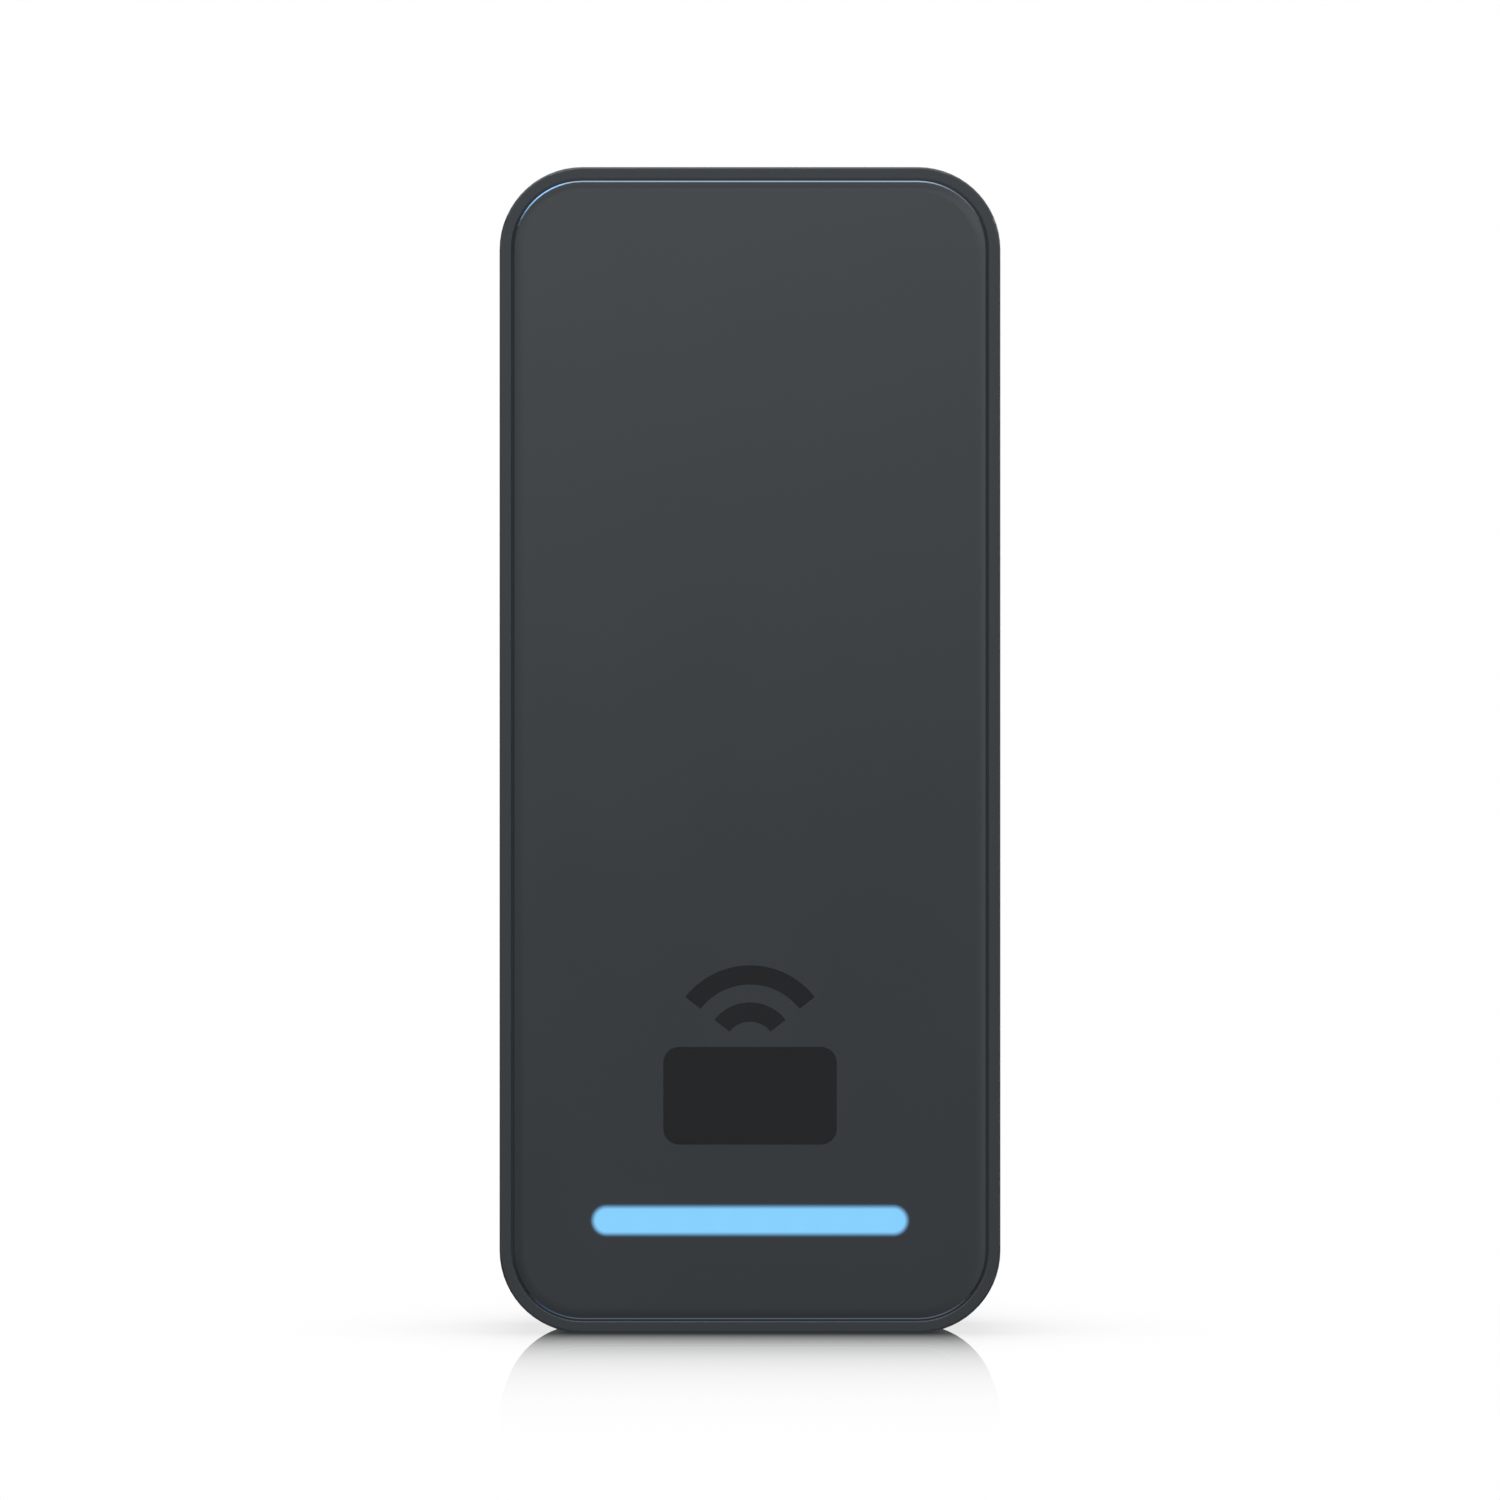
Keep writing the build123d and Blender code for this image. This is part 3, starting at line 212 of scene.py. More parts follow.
class Look(Graph):
    """A material being built round one principled shader."""

    def __init__(self, name):
        self.material = bpy.data.materials.new(name)
        self.material.use_nodes = True
        super().__init__(self.material.node_tree)
        self.shader = self.tree.nodes["Principled BSDF"]
        self.place = self.add("ShaderNodeTexCoord").outputs["Object"]

    def stretch(self, scale):
        """The object's coordinates, scaled along each axis."""
        inputs = {"Vector": self.place, "Scale": scale}
        return self.add("ShaderNodeMapping", inputs).outputs[0]

    def noise(self, size, detail=2.0, along=(1, 1, 1)):
        """Cloudy noise whose features are about size metres across, 0 to 1."""
        inputs = {"Vector": self.stretch(along), "Scale": 1 / size, "Detail": detail}
        return self.add("ShaderNodeTexNoise", inputs).outputs["Fac"]

    def cells(self, size):
        """Distance to the nearest of the points scattered about size metres apart."""
        inputs = {"Vector": self.place, "Scale": 1 / size}
        return self.add("ShaderNodeTexVoronoi", inputs).outputs["Distance"]

    def axes(self):
        """The object's x, y and z coordinates."""
        return self.split(self.place)

    def worn(self, radius):
        """1 on sharp outer and inner edges within radius, 0 on flat faces."""
        bevel = self.add("ShaderNodeBevel", {"Radius": radius}, samples=4).outputs[0]
        normal = self.add("ShaderNodeNewGeometry").outputs["Normal"]
        inputs = {0: bevel, 1: normal}
        dot = self.add("ShaderNodeVectorMath", inputs, operation="DOT_PRODUCT").outputs["Value"]
        return self.remap(dot, 0.98, 0.75, 0.0, 1.0)

    def relief(self, height, depth, edge=0.0):
        """Sends a height to the shader's normal, over edges softened to a radius."""
        inputs = {"Height": height, "Distance": depth, "Strength": 1.0}
        if edge:
            inputs["Normal"] = self.add("ShaderNodeBevel", {"Radius": edge}, samples=4).outputs[0]
        self.plug(self.shader.inputs["Normal"], self.add("ShaderNodeBump", inputs).outputs[0])

    def finish(self, **inputs):
        """Sets the shader's inputs, named with _ for a space, and returns the material."""
        for key, value in inputs.items():
            self.plug(self.shader.inputs[key.replace("_", " ")], value)
        return self.material


# ---- Materials ---------------------------------------------------------------------------------
def lighter(colour, gain, lift=0.0):
    """A colour with each channel multiplied by gain and raised by lift."""
    return tuple(min(1.0, c * gain + lift) for c in colour[:3]) + (1.0,)


def mould(look, colour, grain, depth, roughness, specular=0.5, mottle=0.06, edge=0.08 * MM):
    """Moulded plastic: a fine grain, slow tone changes and slightly polished edges."""
    rubbed = look.worn(0.3 * MM)
    base = look.blend(look.noise(14 * MM, 3), lighter(colour, 1 - mottle), lighter(colour, 1 + 2 * mottle))
    base = look.blend(look.calc("MULTIPLY", rubbed, 0.6), base, lighter(colour, 1.25, 0.004))
    fine = look.noise(grain, 3)
    grained = look.remap(fine, 0.3, 0.7, roughness - 0.05, roughness + 0.05)
    rough = look.calc("SUBTRACT", grained, look.calc("MULTIPLY", rubbed, 0.08))
    look.relief(fine, depth, edge)
    return look.finish(Base_Color=base, Roughness=rough, Specular_IOR_Level=specular)


def moulded(name, *recipe):
    """A material that is nothing but moulded plastic."""
    return mould(Look(name), *recipe)


def metal(name, colour, roughness, along=(1, 1, 1), grain=0.25 * MM, depth=0.004 * MM, stain=0.12):
    """Bare metal: fine drawn or tumbled marks, faint stains and brighter edges."""
    look = Look(name)
    marks = look.noise(grain, 4, along)
    stained = look.noise(5 * MM, 4)
    base = look.blend(look.remap(stained, 0.35, 0.7, 0, 1), colour, lighter(colour, 1 - stain))
    base = look.blend(look.calc("MULTIPLY", look.worn(0.15 * MM), 0.35), base, tone(250, 250, 248))
    look.relief(marks, depth, 0.05 * MM)
    marked = look.remap(marks, 0.25, 0.75, roughness - 0.06, roughness + 0.08)
    rough = look.calc("ADD", marked, look.calc("MULTIPLY", stained, 0.06))
    return look.finish(Base_Color=base, Roughness=rough, Metallic=1.0)


def rubber(name, colour, cell, depth, roughness=0.85):
    """Soft rubber or foam: open pores, dusty high spots and a matte sheen."""
    look = Look(name)
    pores = look.cells(cell)
    cloud = look.noise(3 * MM, 3)
    base = look.blend(look.calc("MULTIPLY", pores, cloud), colour, lighter(colour, 1.7, 0.003))
    look.relief(look.calc("ADD", pores, look.calc("MULTIPLY", cloud, 0.5)), depth)
    return look.finish(Base_Color=base, Roughness=roughness, Sheen_Weight=0.15, Specular_IOR_Level=0.25)


def zinc_plate(name):
    """Galvanised sheet: small crystal spangle, faint rolling marks and bright sheared edges."""
    look = Look(name)
    inputs = {"Vector": look.place, "Scale": 1 / (1.7 * MM)}
    tint = look.split(look.add("ShaderNodeTexVoronoi", inputs).outputs["Color"])[0]
    rolled = look.noise(0.5 * MM, 5, (1, 1, 0.06))
    base = look.blend(tint, tone(196, 198, 200), tone(208, 210, 212))
    base = look.blend(look.remap(look.noise(9 * MM, 5), 0.45, 0.75, 0, 0.3), base, tone(180, 183, 186))
    base = look.blend(look.calc("MULTIPLY", look.worn(0.2 * MM), 0.5), base, tone(236, 237, 238))
    look.relief(look.calc("ADD", rolled, look.calc("MULTIPLY", tint, 0.3)), 0.004 * MM, 0.08 * MM)
    return look.finish(Base_Color=base, Roughness=look.remap(tint, 0, 1, 0.4, 0.47), Metallic=1.0)


def painted_roll_shade_and_highlight(look, base, normal):
    """The panel's colour with painted shade where its edge rolls up or left and a painted highlight where it
    rolls right.
    """
    across, _, up = look.split(normal)
    lean = look.calc("MULTIPLY", look.calc("SUBTRACT", up, across), ROLL_SHADE, clamp=True)
    base = look.blend(look.calc("MINIMUM", lean, ROLL_SHADE_MOST), base, tone(*ROLL_PAINTED_SHADE_TONE))
    lean = look.calc("MULTIPLY", across, ROLL_SHINE, clamp=True)
    return look.blend(look.calc("MINIMUM", lean, ROLL_SHINE_MOST), base, tone(*ROLL_PAINTED_HIGHLIGHT_TONE))


def painted_edge_glint(look, x, normal):
    """The painted highlight line along the panel's bevelled edge, as its strength and its colour."""
    _, facing, upward = look.split(normal)
    bevel = look.calc("COMPARE", facing, -sin(pi / 4), 0.1)
    top = look.calc("MULTIPLY", bevel, look.remap(upward, 0.2, 0.6, 0.0, 1.0, smooth=True))
    strength = look.remap(x, 19 * MM, 24 * MM, GLINT_TOP, GLINT_TOP / 4, smooth=True)
    corner = look.remap(x, -20 * MM, -22 * MM, 0.0, 1.0, smooth=True)
    strength = look.calc("ADD", strength, look.calc("MULTIPLY", corner, GLINT_CORNER))
    rising = look.remap(upward, -0.4, -0.68, 0.0, GLINT_BOTTOM, smooth=True)
    bottom = look.calc("MULTIPLY", bevel, rising)
    glint = look.calc("ADD", look.calc("MULTIPLY", top, strength), bottom)
    return glint, look.blend(corner, tone(*GLINT_SKY), tone(*GLINT_CORNER_SKY))


def panel_look(name):
    """The front panel: smooth satin grey, with a painted blue glow from the lit bar beside it, painted shade
    and highlight on its rolled edge, a painted glint on its bevel and painted fill light in its gap.
    """
    look = Look(name)
    x, y, z = look.axes()
    cloud = look.noise(26 * MM, 2)
    base = look.blend(cloud, tone(*PANEL_TONE_LOW), tone(*PANEL_TONE_HIGH))
    normal = look.add("ShaderNodeNewGeometry").outputs
    # painted shade on the top and left of the rolled edge, painted highlight on its right
    base = painted_roll_shade_and_highlight(look, base, normal["Normal"])
    ripple = look.noise(0.35 * MM, 2)
    slow = look.noise(9 * MM, 1)
    look.relief(look.calc("ADD", look.calc("MULTIPLY", ripple, 0.1), slow), 0.002 * MM)
    smear = look.noise(12 * MM, 4, (1, 1, 0.5))
    rough = look.remap(smear, 0.3, 0.7, PANEL_ROUGHNESS - 0.02, PANEL_ROUGHNESS + 0.02)
    # painted light: the panel glows blue close round the bar, as if lit by it
    outside = bar_distance(look, x, z)
    painted_bar_spill = look.remap(outside, 0.0, 0.3 * MM, 0.06, 0.0, smooth=True)
    painted_bar_wash = look.remap(outside, 0.0, 4 * MM, 0.003, 0.0, smooth=True)
    # painted highlight: the bevel glows where it faces up, and faintly where it faces down
    glint, sky = painted_edge_glint(look, x, normal["True Normal"])
    lit = look.calc("ADD", look.calc("ADD", painted_bar_spill, painted_bar_wash), glint)
    hue = look.blend(look.calc("GREATER_THAN", glint, 0.001), tone(*PAINTED_LENS_SPILL), sky)
    # painted fill light: the panel's side wall deep in the gap glows a dark grey
    painted_gap_fill = look.remap(y, FRONT_Y + PANEL_DROP, FRONT_Y + PANEL_DROP + 0.12 * MM, 0, 1)
    return look.finish(
        Base_Color=base,
        Roughness=rough,
        Specular_IOR_Level=0.5,
        Emission_Color=look.blend(painted_gap_fill, hue, tone(*PAINTED_FILL_GREY)),
        Emission_Strength=look.calc("MAXIMUM", lit, painted_gap_fill),
    )


def outline_distance(look, x, z, inset):
    """Distance outside the case's outline moved inwards by inset, in metres, negative inside it."""
    corner = CASE_CORNER - inset
    over_x = look.calc("SUBTRACT", look.calc("ABSOLUTE", x), CASE_HIGH.x - inset - corner)
    over_z = look.calc("SUBTRACT", look.calc("ABSOLUTE", z), CASE_HIGH.z - inset - corner)
    out_x = look.calc("MAXIMUM", over_x, 0.0)
    out_z = look.calc("MAXIMUM", over_z, 0.0)
    squares = look.calc("ADD", look.calc("MULTIPLY", out_x, out_x), look.calc("MULTIPLY", out_z, out_z))
    inner = look.calc("MINIMUM", look.calc("MAXIMUM", over_x, over_z), 0.0)
    return look.calc("SUBTRACT", look.calc("ADD", look.calc("SQRT", squares), inner), corner)


def bar_distance(look, x, z):
    """Distance outside the light bar's outline, in metres, negative inside it."""
    along = look.calc("MAXIMUM", look.calc("SUBTRACT", look.calc("ABSOLUTE", x), BAR_HALF_STRAIGHT), 0.0)
    across = look.calc("SUBTRACT", z, BAR_Z)
    squares = look.calc("ADD", look.calc("MULTIPLY", along, along), look.calc("MULTIPLY", across, across))
    return look.calc("SUBTRACT", look.calc("SQRT", squares), BAR_RADIUS)


def case_look(name):
    """The case: satin moulding, with painted fill light in the gap round the panel and painted bounce light
    from the floor on its underside.
    """
    look = Look(name)
    mould(look, tone(*CASE_TONE), 0.14 * MM, 0.0025 * MM, 0.5, 0.3, 0.02)
    x, y, z = look.axes()
    # painted fill light on the case's rim wall deep in the gap round the panel
    within = look.remap(outline_distance(look, x, z, CASE_RIM), 0.0, -0.02 * MM, 0, 1)
    deep = look.remap(y, FRONT_Y + 0.25 * MM, FRONT_Y + 0.45 * MM, 0, 1)
    # painted bounce light: faces that point down glow as if lit from the floor
    _, _, up = look.split(look.add("ShaderNodeNewGeometry").outputs["Normal"])
    under = look.remap(up, -0.1, -0.8, 0.0, UNDER_LIGHT, smooth=True)
    light = look.calc("ADD", look.calc("MULTIPLY", within, deep), under)
    return look.finish(Emission_Color=tone(*PAINTED_FILL_GREY), Emission_Strength=light)


def glow_look(name):
    """The lit lens: even light blue that drops off to a deeper blue in a narrow band at its rim."""
    look = Look(name)
    x, _, z = look.axes()
    inside = look.calc("MULTIPLY", bar_distance(look, x, z), -1.0)
    rim = look.remap(inside, -0.05 * MM, 0.55 * MM, 1.0, 0.0, smooth=True)
    speckle = look.remap(look.noise(0.5 * MM, 2), 0.3, 0.7, 0.995, 1.005)
    lamps = look.calc("SINE", look.calc("MULTIPLY", x, 2 * pi / (4.5 * MM)))
    even = look.calc("MULTIPLY", speckle, look.remap(lamps, -1, 1, 0.992, 1.0))
    colour = look.blend(rim, tone(*LENS_BLUE), tone(*LENS_RIM))
    look.relief(look.noise(0.4 * MM, 2), 0.002 * MM)
    return look.finish(
        Base_Color=tone(20, 30, 40),
        Roughness=0.4,
        Specular_IOR_Level=0.0,
        Emission_Color=colour,
        Emission_Strength=even,
    )


def board_look(name):
    """Solder-masked board: faint tracks under green lacquer, and bare glass cloth at its cut edges."""
    look = Look(name)
    inputs = {"Vector": look.stretch((1, 0.001, 1)), "Scale": 1 / (1.6 * MM)}
    squares = look.add("ShaderNodeTexVoronoi", inputs, distance="CHEBYCHEV", feature="F2")
    tracks = squares.outputs["Distance"]
    line = look.remap(look.calc("FRACT", look.calc("MULTIPLY", tracks, 3.0)), 0.45, 0.55, 0, 1)
    base = look.blend(line, tone(18, 74, 44), tone(30, 98, 58))
    normal = look.add("ShaderNodeNewGeometry").outputs["Normal"]
    facing = look.calc("ABSOLUTE", look.split(normal)[1])
    cloth = look.blend(look.noise(0.12 * MM, 2, (1, 8, 1)), tone(148, 152, 98), tone(186, 186, 132))
    base = look.blend(look.remap(facing, 0.3, 0.6, 0, 1), cloth, base)
    look.relief(line, 0.02 * MM)
    return look.finish(Base_Color=base, Roughness=look.remap(line, 0, 1, 0.38, 0.3))


def package_look(name, colour, depth):
    """Chips, ferrites and ceramic parts: gritty moulded bodies with a paler worn rim."""
    return moulded(name, colour, 0.12 * MM, depth, 0.6, 0.35, 0.12, 0.06 * MM)


def label_look(name):
    """Blank foil label: brushed silver film with a thin dark border and no lettering."""
    look = Look(name)
    low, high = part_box("rating_label")
    x, _, z = look.axes()
    half = (high - low) / 2
    middle = (high + low) / 2
    from_side = look.calc("SUBTRACT", half.x, look.calc("ABSOLUTE", look.calc("SUBTRACT", x, middle.x)))
    from_end = look.calc("SUBTRACT", half.z, look.calc("ABSOLUTE", look.calc("SUBTRACT", z, middle.z)))
    from_edge = look.calc("MINIMUM", from_side, from_end)
    frame_line = look.calc("COMPARE", from_edge, 0.8 * MM, 0.09 * MM)
    brushed = look.noise(0.2 * MM, 4, (0.02, 1, 1))
    base = look.blend(brushed, tone(176, 178, 180), tone(204, 205, 206))
    base = look.blend(frame_line, base, tone(60, 62, 64))
    look.relief(brushed, 0.002 * MM)
    return look.finish(Base_Color=base, Roughness=0.42, Metallic=0.6)


def mark_look(name):
    """Tone-on-tone inlay: near-black satin, a touch rougher and darker than the panel."""
    look = Look(name)
    base = look.blend(look.noise(8 * MM, 3), tone(33, 35, 37), tone(38, 40, 42))
    fine = look.noise(0.12 * MM, 2)
    look.relief(fine, 0.004 * MM, 0.06 * MM)
    rough = look.remap(fine, 0.3, 0.7, 0.44, 0.54)
    return look.finish(Base_Color=base, Roughness=rough, Specular_IOR_Level=0.2)


def film_look(name, colour):
    """Breathable film or printed sheet: a pressed weave of fine dots on matte stock."""
    look = Look(name)
    dots = look.cells(0.28 * MM)
    base = look.blend(dots, colour, lighter(colour, 0.8))
    look.relief(dots, 0.012 * MM)
    return look.finish(Base_Color=base, Roughness=0.8, Sheen_Weight=0.1)


MATERIALS = {
    "plate_steel": zinc_plate("zinc_plate"),
    "foam_black": rubber("cellular_foam", tone(30, 31, 32), 0.35 * MM, 0.12 * MM),
    "case_grey": case_look("satin_case"),
    "panel_grey": panel_look("satin_panel"),
    "adhesive_black": rubber("adhesive_sheet", tone(24, 24, 24), 0.5 * MM, 0.01 * MM, 0.6),
    "mark_dark": mark_look("inlay_dark"),
    "light_blue": glow_look("lit_lens"),
    "reflector_white": moulded("white_reflector", tone(232, 233, 233), 0.2 * MM, 0.003 * MM, 0.35),
    "board_green": board_look("solder_mask"),
    "copper": metal("bare_copper", tone(200, 124, 84), 0.3),
    "ferrite_grey": package_look("ferrite", tone(62, 62, 64), 0.02 * MM),
    "contact_gold": metal("gold_flash", tone(226, 184, 98), 0.22, along=(1, 1, 0.2)),
    "screw_steel": metal("zinc_screw", tone(178, 178, 182), 0.28, along=(1, 1, 4)),
    "led_white": moulded("led_cap", tone(238, 236, 218), 0.1 * MM, 0.002 * MM, 0.25),
    "chip_black": package_look("chip_epoxy", tone(30, 30, 32), 0.012 * MM),
    "thermal_pad_grey": rubber("gap_pad", tone(138, 146, 158), 0.25 * MM, 0.02 * MM),
    "sink_aluminium": metal("extruded_fins", tone(196, 198, 202), 0.3, along=(1, 1, 0.04)),
    "tinned_can": metal("tinned_sheet", tone(204, 204, 200), 0.25, along=(1, 1, 0.3)),
    "transformer_tape": film_look("winding_tape", tone(206, 176, 70)),
    "capacitor_can": metal("drawn_can", tone(208, 210, 212), 0.22, along=(1, 0.1, 1)),
    "passive_body": package_look("ceramic_body", tone(150, 128, 102), 0.01 * MM),
    "jack_black": moulded("jack_body", tone(32, 32, 34), 0.16 * MM, 0.01 * MM, 0.5),
    "silicone_grey": rubber("silicone", tone(112, 115, 118), 0.6 * MM, 0.01 * MM, 0.65),
    "membrane_white": film_look("vent_film", tone(226, 226, 224)),
    "button_white": moulded("soft_button", tone(216, 217, 217), 0.18 * MM, 0.01 * MM, 0.55),
    "spring_steel": metal("spring_wire", tone(190, 190, 190), 0.2, grain=0.1 * MM),
    "nylon_white": moulded("natural_nylon", tone(222, 219, 208), 0.2 * MM, 0.006 * MM, 0.5),
    "cover_black": moulded("spark_texture", tone(43, 45, 47), 0.22 * MM, 0.03 * MM, 0.62, 0.4, 0.05),
    "screw_black": metal("black_zinc", tone(82, 82, 84), 0.36, grain=0.2 * MM),
    "label_silver": label_look("foil_label"),
    "brass": metal("turned_brass", tone(212, 178, 110), 0.28, along=(1, 1, 5)),
}

SLOTS = {row["node"]: row["material_slot"] for row in frame["record"]["subparts"]}
for node_name, node in NODES.items():
    node.data.materials.clear()
    node.data.materials.append(MATERIALS[SLOTS[node_name]])


# ---- Soft pieces and the spring ----------------------------------------------------------------
def new_piece(name, mesh_maker, slot_name, body, *stands_for):
    """Makes a smooth-shaded piece from a bmesh, gives it its finish and puts it on its body."""
    mesh = bpy.data.meshes.new(name)
    shape = bmesh.new()
    mesh_maker(shape)
    bmesh.ops.recalc_face_normals(shape, faces=shape.faces)
    for face in shape.faces:
        face.smooth = True
    shape.to_mesh(mesh)
    shape.free()
    piece = bpy.data.objects.new(name, mesh)
    bpy.context.scene.collection.objects.link(piece)
    mesh.materials.append(MATERIALS[slot_name])
    if body:
        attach(piece, body)
    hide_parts(*stands_for)
    return piece


def loop(low, high, corner, corner_steps, side_steps):
    """Points round a rectangle with rounded corners, counter-clockwise, as (u, v) pairs."""
    hub_u, hub_v = (high[0] - low[0]) / 2 - corner, (high[1] - low[1]) / 2 - corner
    mid_u, mid_v = (high[0] + low[0]) / 2, (high[1] + low[1]) / 2
    points = []
    for quarter, (sign_u, sign_v) in enumerate(((1, 1), (-1, 1), (-1, -1), (1, -1))):
        for step in range(corner_steps + 1):
            angle = (quarter + step / corner_steps) * pi / 2
            across = mid_u + sign_u * hub_u + corner * cos(angle)
            points.append((across, mid_v + sign_v * hub_v + corner * sin(angle)))
        start = points[-1]
        ahead = ((-1, 0), (0, -1), (1, 0), (0, 1))[quarter]
        run = 2 * (hub_u, hub_v)[quarter % 2]
        for step in range(1, side_steps[quarter % 2]):
            reach = run * step / side_steps[quarter % 2]
            points.append((start[0] + ahead[0] * reach, start[1] + ahead[1] * reach))
    return points


def section(power, count):
    """A rounded-box cross-section within -1 to 1, as (across, through) pairs."""
    points = []
    for step in range(count):
        c, s = cos(2 * pi * step / count), sin(2 * pi * step / count)
        points.append((copysign(abs(c) ** (2 / power), c), copysign(abs(s) ** (2 / power), s)))
    return points


def ring_maker(outer, inner, near, far, place, power, count, lumps=0.0):
    """A soft ring between two loops: rounded edges, and a cut surface uneven by lumps."""

    def make(shape):
        rows = []
        for (out_u, out_v), (in_u, in_v) in zip(outer, inner):
            mid = Vector(((out_u + in_u) / 2, (out_v + in_v) / 2, (near + far) / 2))
            side = Vector(((out_u - in_u) / 2, (out_v - in_v) / 2, 0))
            row = []
            for across, through in section(power, count):
                spot = mid + side * across + Vector((0, 0, (far - near) / 2 * through))
                dent = lumps * abs(noise.noise(spot / (1.1 * MM)))
                spot += (mid - spot).normalized() * dent
                row.append(shape.verts.new(place(*spot)))
            rows.append(row)
        join_rows(shape, rows, closed=True)

    return make


def facing_front(u, v, w):
    """A loop drawn in the front view."""
    return (u, w, v)


def facing_up(u, v, w):
    """A loop drawn in the plan view."""
    return (u, v, w)


def join_rows(shape, rows, closed):
    """Skins rows of section points; a closed skin has no ends, and an open one is capped."""
    count = len(rows[0])
    last = len(rows) if closed else len(rows) - 1
    for i in range(last):
        here, there = rows[i], rows[(i + 1) % len(rows)]
        for j in range(count):
            k = (j + 1) % count
            shape.faces.new((here[j], here[k], there[k], there[j]))
    if not closed:
        shape.faces.new(rows[0])
        shape.faces.new(list(reversed(rows[-1])))


def sleeve_maker(centre, outer, inner, near, far):
    """A rubber sleeve round a line out of the wall: flat ends, rolled lips and a slight waist."""
    lip_length = 0.3 * MM
    lip_roll = 0.15 * MM
    waist_depth = 0.12 * MM
    steps = 24
    turns = 72

    def make(shape):
        length = far - near
        profile = []
        for step in range(steps + 1):
            t = step / steps
            lip = min(1.0, min(t, 1 - t) * length / lip_length)
            waist = waist_depth * sin(pi * t)
            profile.append((outer - waist - (1 - lip) ** 2 * lip_roll, near + t * length))
        for step in range(steps + 1):
            t = 1 - step / steps
            profile.append((inner, near + t * length))
        rows = []
        for step in range(turns):
            angle = 2 * pi * step / turns
            row = []
            for radius, y in profile:
                spot = (centre[0] + radius * cos(angle), y, centre[1] + radius * sin(angle))
                row.append(shape.verts.new(spot))
            rows.append(row)
        join_rows(shape, rows, closed=True)

    return make


def pad_maker(low, high, cuts, sag):
    """A soft pad: a fine box whose corners are rounded and whose sides pull in between them."""
    power = 10
    crumb = 0.03 * MM

    def make(shape):
        bmesh.ops.create_cube(shape, size=2.0)
        bmesh.ops.subdivide_edges(shape, edges=shape.edges, cuts=cuts, use_grid_fill=True)
        half = (high - low) / 2
        middle = (high + low) / 2
        for vert in shape.verts:
            u, v, w = vert.co
            size = (abs(u) ** power + abs(v) ** power + abs(w) ** power) ** (1 / power)
            u, v, w = u / size, v / size, w / size
            waist = sag * (1 - v * v)
            grain = crumb * noise.noise(Vector((u, v, w)) * 9)
            vert.co = (
                middle.x + u * (half.x - waist * (1 - w * w) - abs(grain)),
                middle.y + v * half.y,
                middle.z + w * (half.z - waist * (1 - u * u) - abs(grain)),
            )

    return make


def coil_maker(centre, radius, wire, near, far, turns, dead):
    """A compression spring along Y: closed flat end coils and open coils between them."""
    end_rise = 0.10
    open_rise = 0.80
    steps_a_turn = 44
    sides = 14

    def make(shape):
        steps = steps_a_turn * turns
        rows = []
        for step in range(int(steps) + 1):
            t = step / steps
            turn = t * turns
            share = min(1.0, max(0.0, (turn - dead) / (turns - 2 * dead)))
            first = min(turn / dead, 1.0)
            last = max(0.0, (turn - turns + dead) / dead)
            rise = end_rise * first + open_rise * share + end_rise * last
            lift = near + wire + (far - near - 2 * wire) * rise
            angle = 2 * pi * turn
            out = Vector((cos(angle), 0, sin(angle)))
            hub = Vector((centre[0], lift, centre[1])) + out * radius
            row = []
            for side in range(sides):
                round_wire = 2 * pi * side / sides
                spot = hub + out * wire * cos(round_wire) + Vector((0, wire * sin(round_wire), 0))
                row.append(shape.verts.new(spot))
            rows.append(row)
        join_rows(shape, rows, closed=False)

    return make


def front_ring(node, corner, width, steps, power, count, lumps):
    """A soft ring that fills a CAD ring node drawn in the front view."""
    low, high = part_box(node)
    outer = loop((low.x, low.z), (high.x, high.z), corner, 24, steps)
    inner = loop((low.x + width, low.z + width), (high.x - width, high.z - width), corner - width, 24, steps)
    return ring_maker(outer, inner, low.y, high.y, facing_front, power, count, lumps)


foam = front_ring(
    "wall_gasket", FOAM_CORNER, FOAM_WIDTH, steps=(80, 200), power=5, count=28, lumps=0.05 * MM
)
new_piece("foam_ring", foam, "foam_black", "wall_plate", "wall_gasket")
seal = front_ring(
    "housing_seal", SEAL_CORNER, SEAL_WIDTH, steps=(60, 160), power=2.6, count=18, lumps=0.01 * MM
)
new_piece("seal_ring", seal, "silicone_grey", "reader", "housing_seal")
mouth_low, mouth_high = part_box("jack_seal")
mouth_outer = loop(mouth_low, mouth_high, MOUTH_CORNER, corner_steps=6, side_steps=(30, 20))
plug_low = (-PLUG_HALF_WIDTH, mouth_low.y + PLUG_FROM_FRONT)
plug_high = (PLUG_HALF_WIDTH, mouth_high.y - PLUG_FROM_BACK)
mouth_inner = loop(plug_low, plug_high, PLUG_CORNER, corner_steps=6, side_steps=(30, 20))
mouth = ring_maker(
    mouth_outer, mouth_inner, mouth_low.z, mouth_high.z, facing_up, power=4, count=20, lumps=0.01 * MM
)
new_piece("mouth_seal", mouth, "silicone_grey", "reader", "jack_seal")
pad_low, pad_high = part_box("thermal_pad")
pad = pad_maker(pad_low, pad_high, cuts=22, sag=0.25 * MM)
new_piece("gap_pad", pad, "thermal_pad_grey", "reader", "thermal_pad")
sleeve_low, sleeve_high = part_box("buzzer_gasket")
sleeve_centre = ((sleeve_low.x + sleeve_high.x) / 2, (sleeve_low.z + sleeve_high.z) / 2)
sleeve = sleeve_maker(sleeve_centre, SLEEVE_OUTER, SLEEVE_INNER, sleeve_low.y, sleeve_high.y)
new_piece("sound_sleeve", sleeve, "silicone_grey", "reader", "buzzer_gasket")
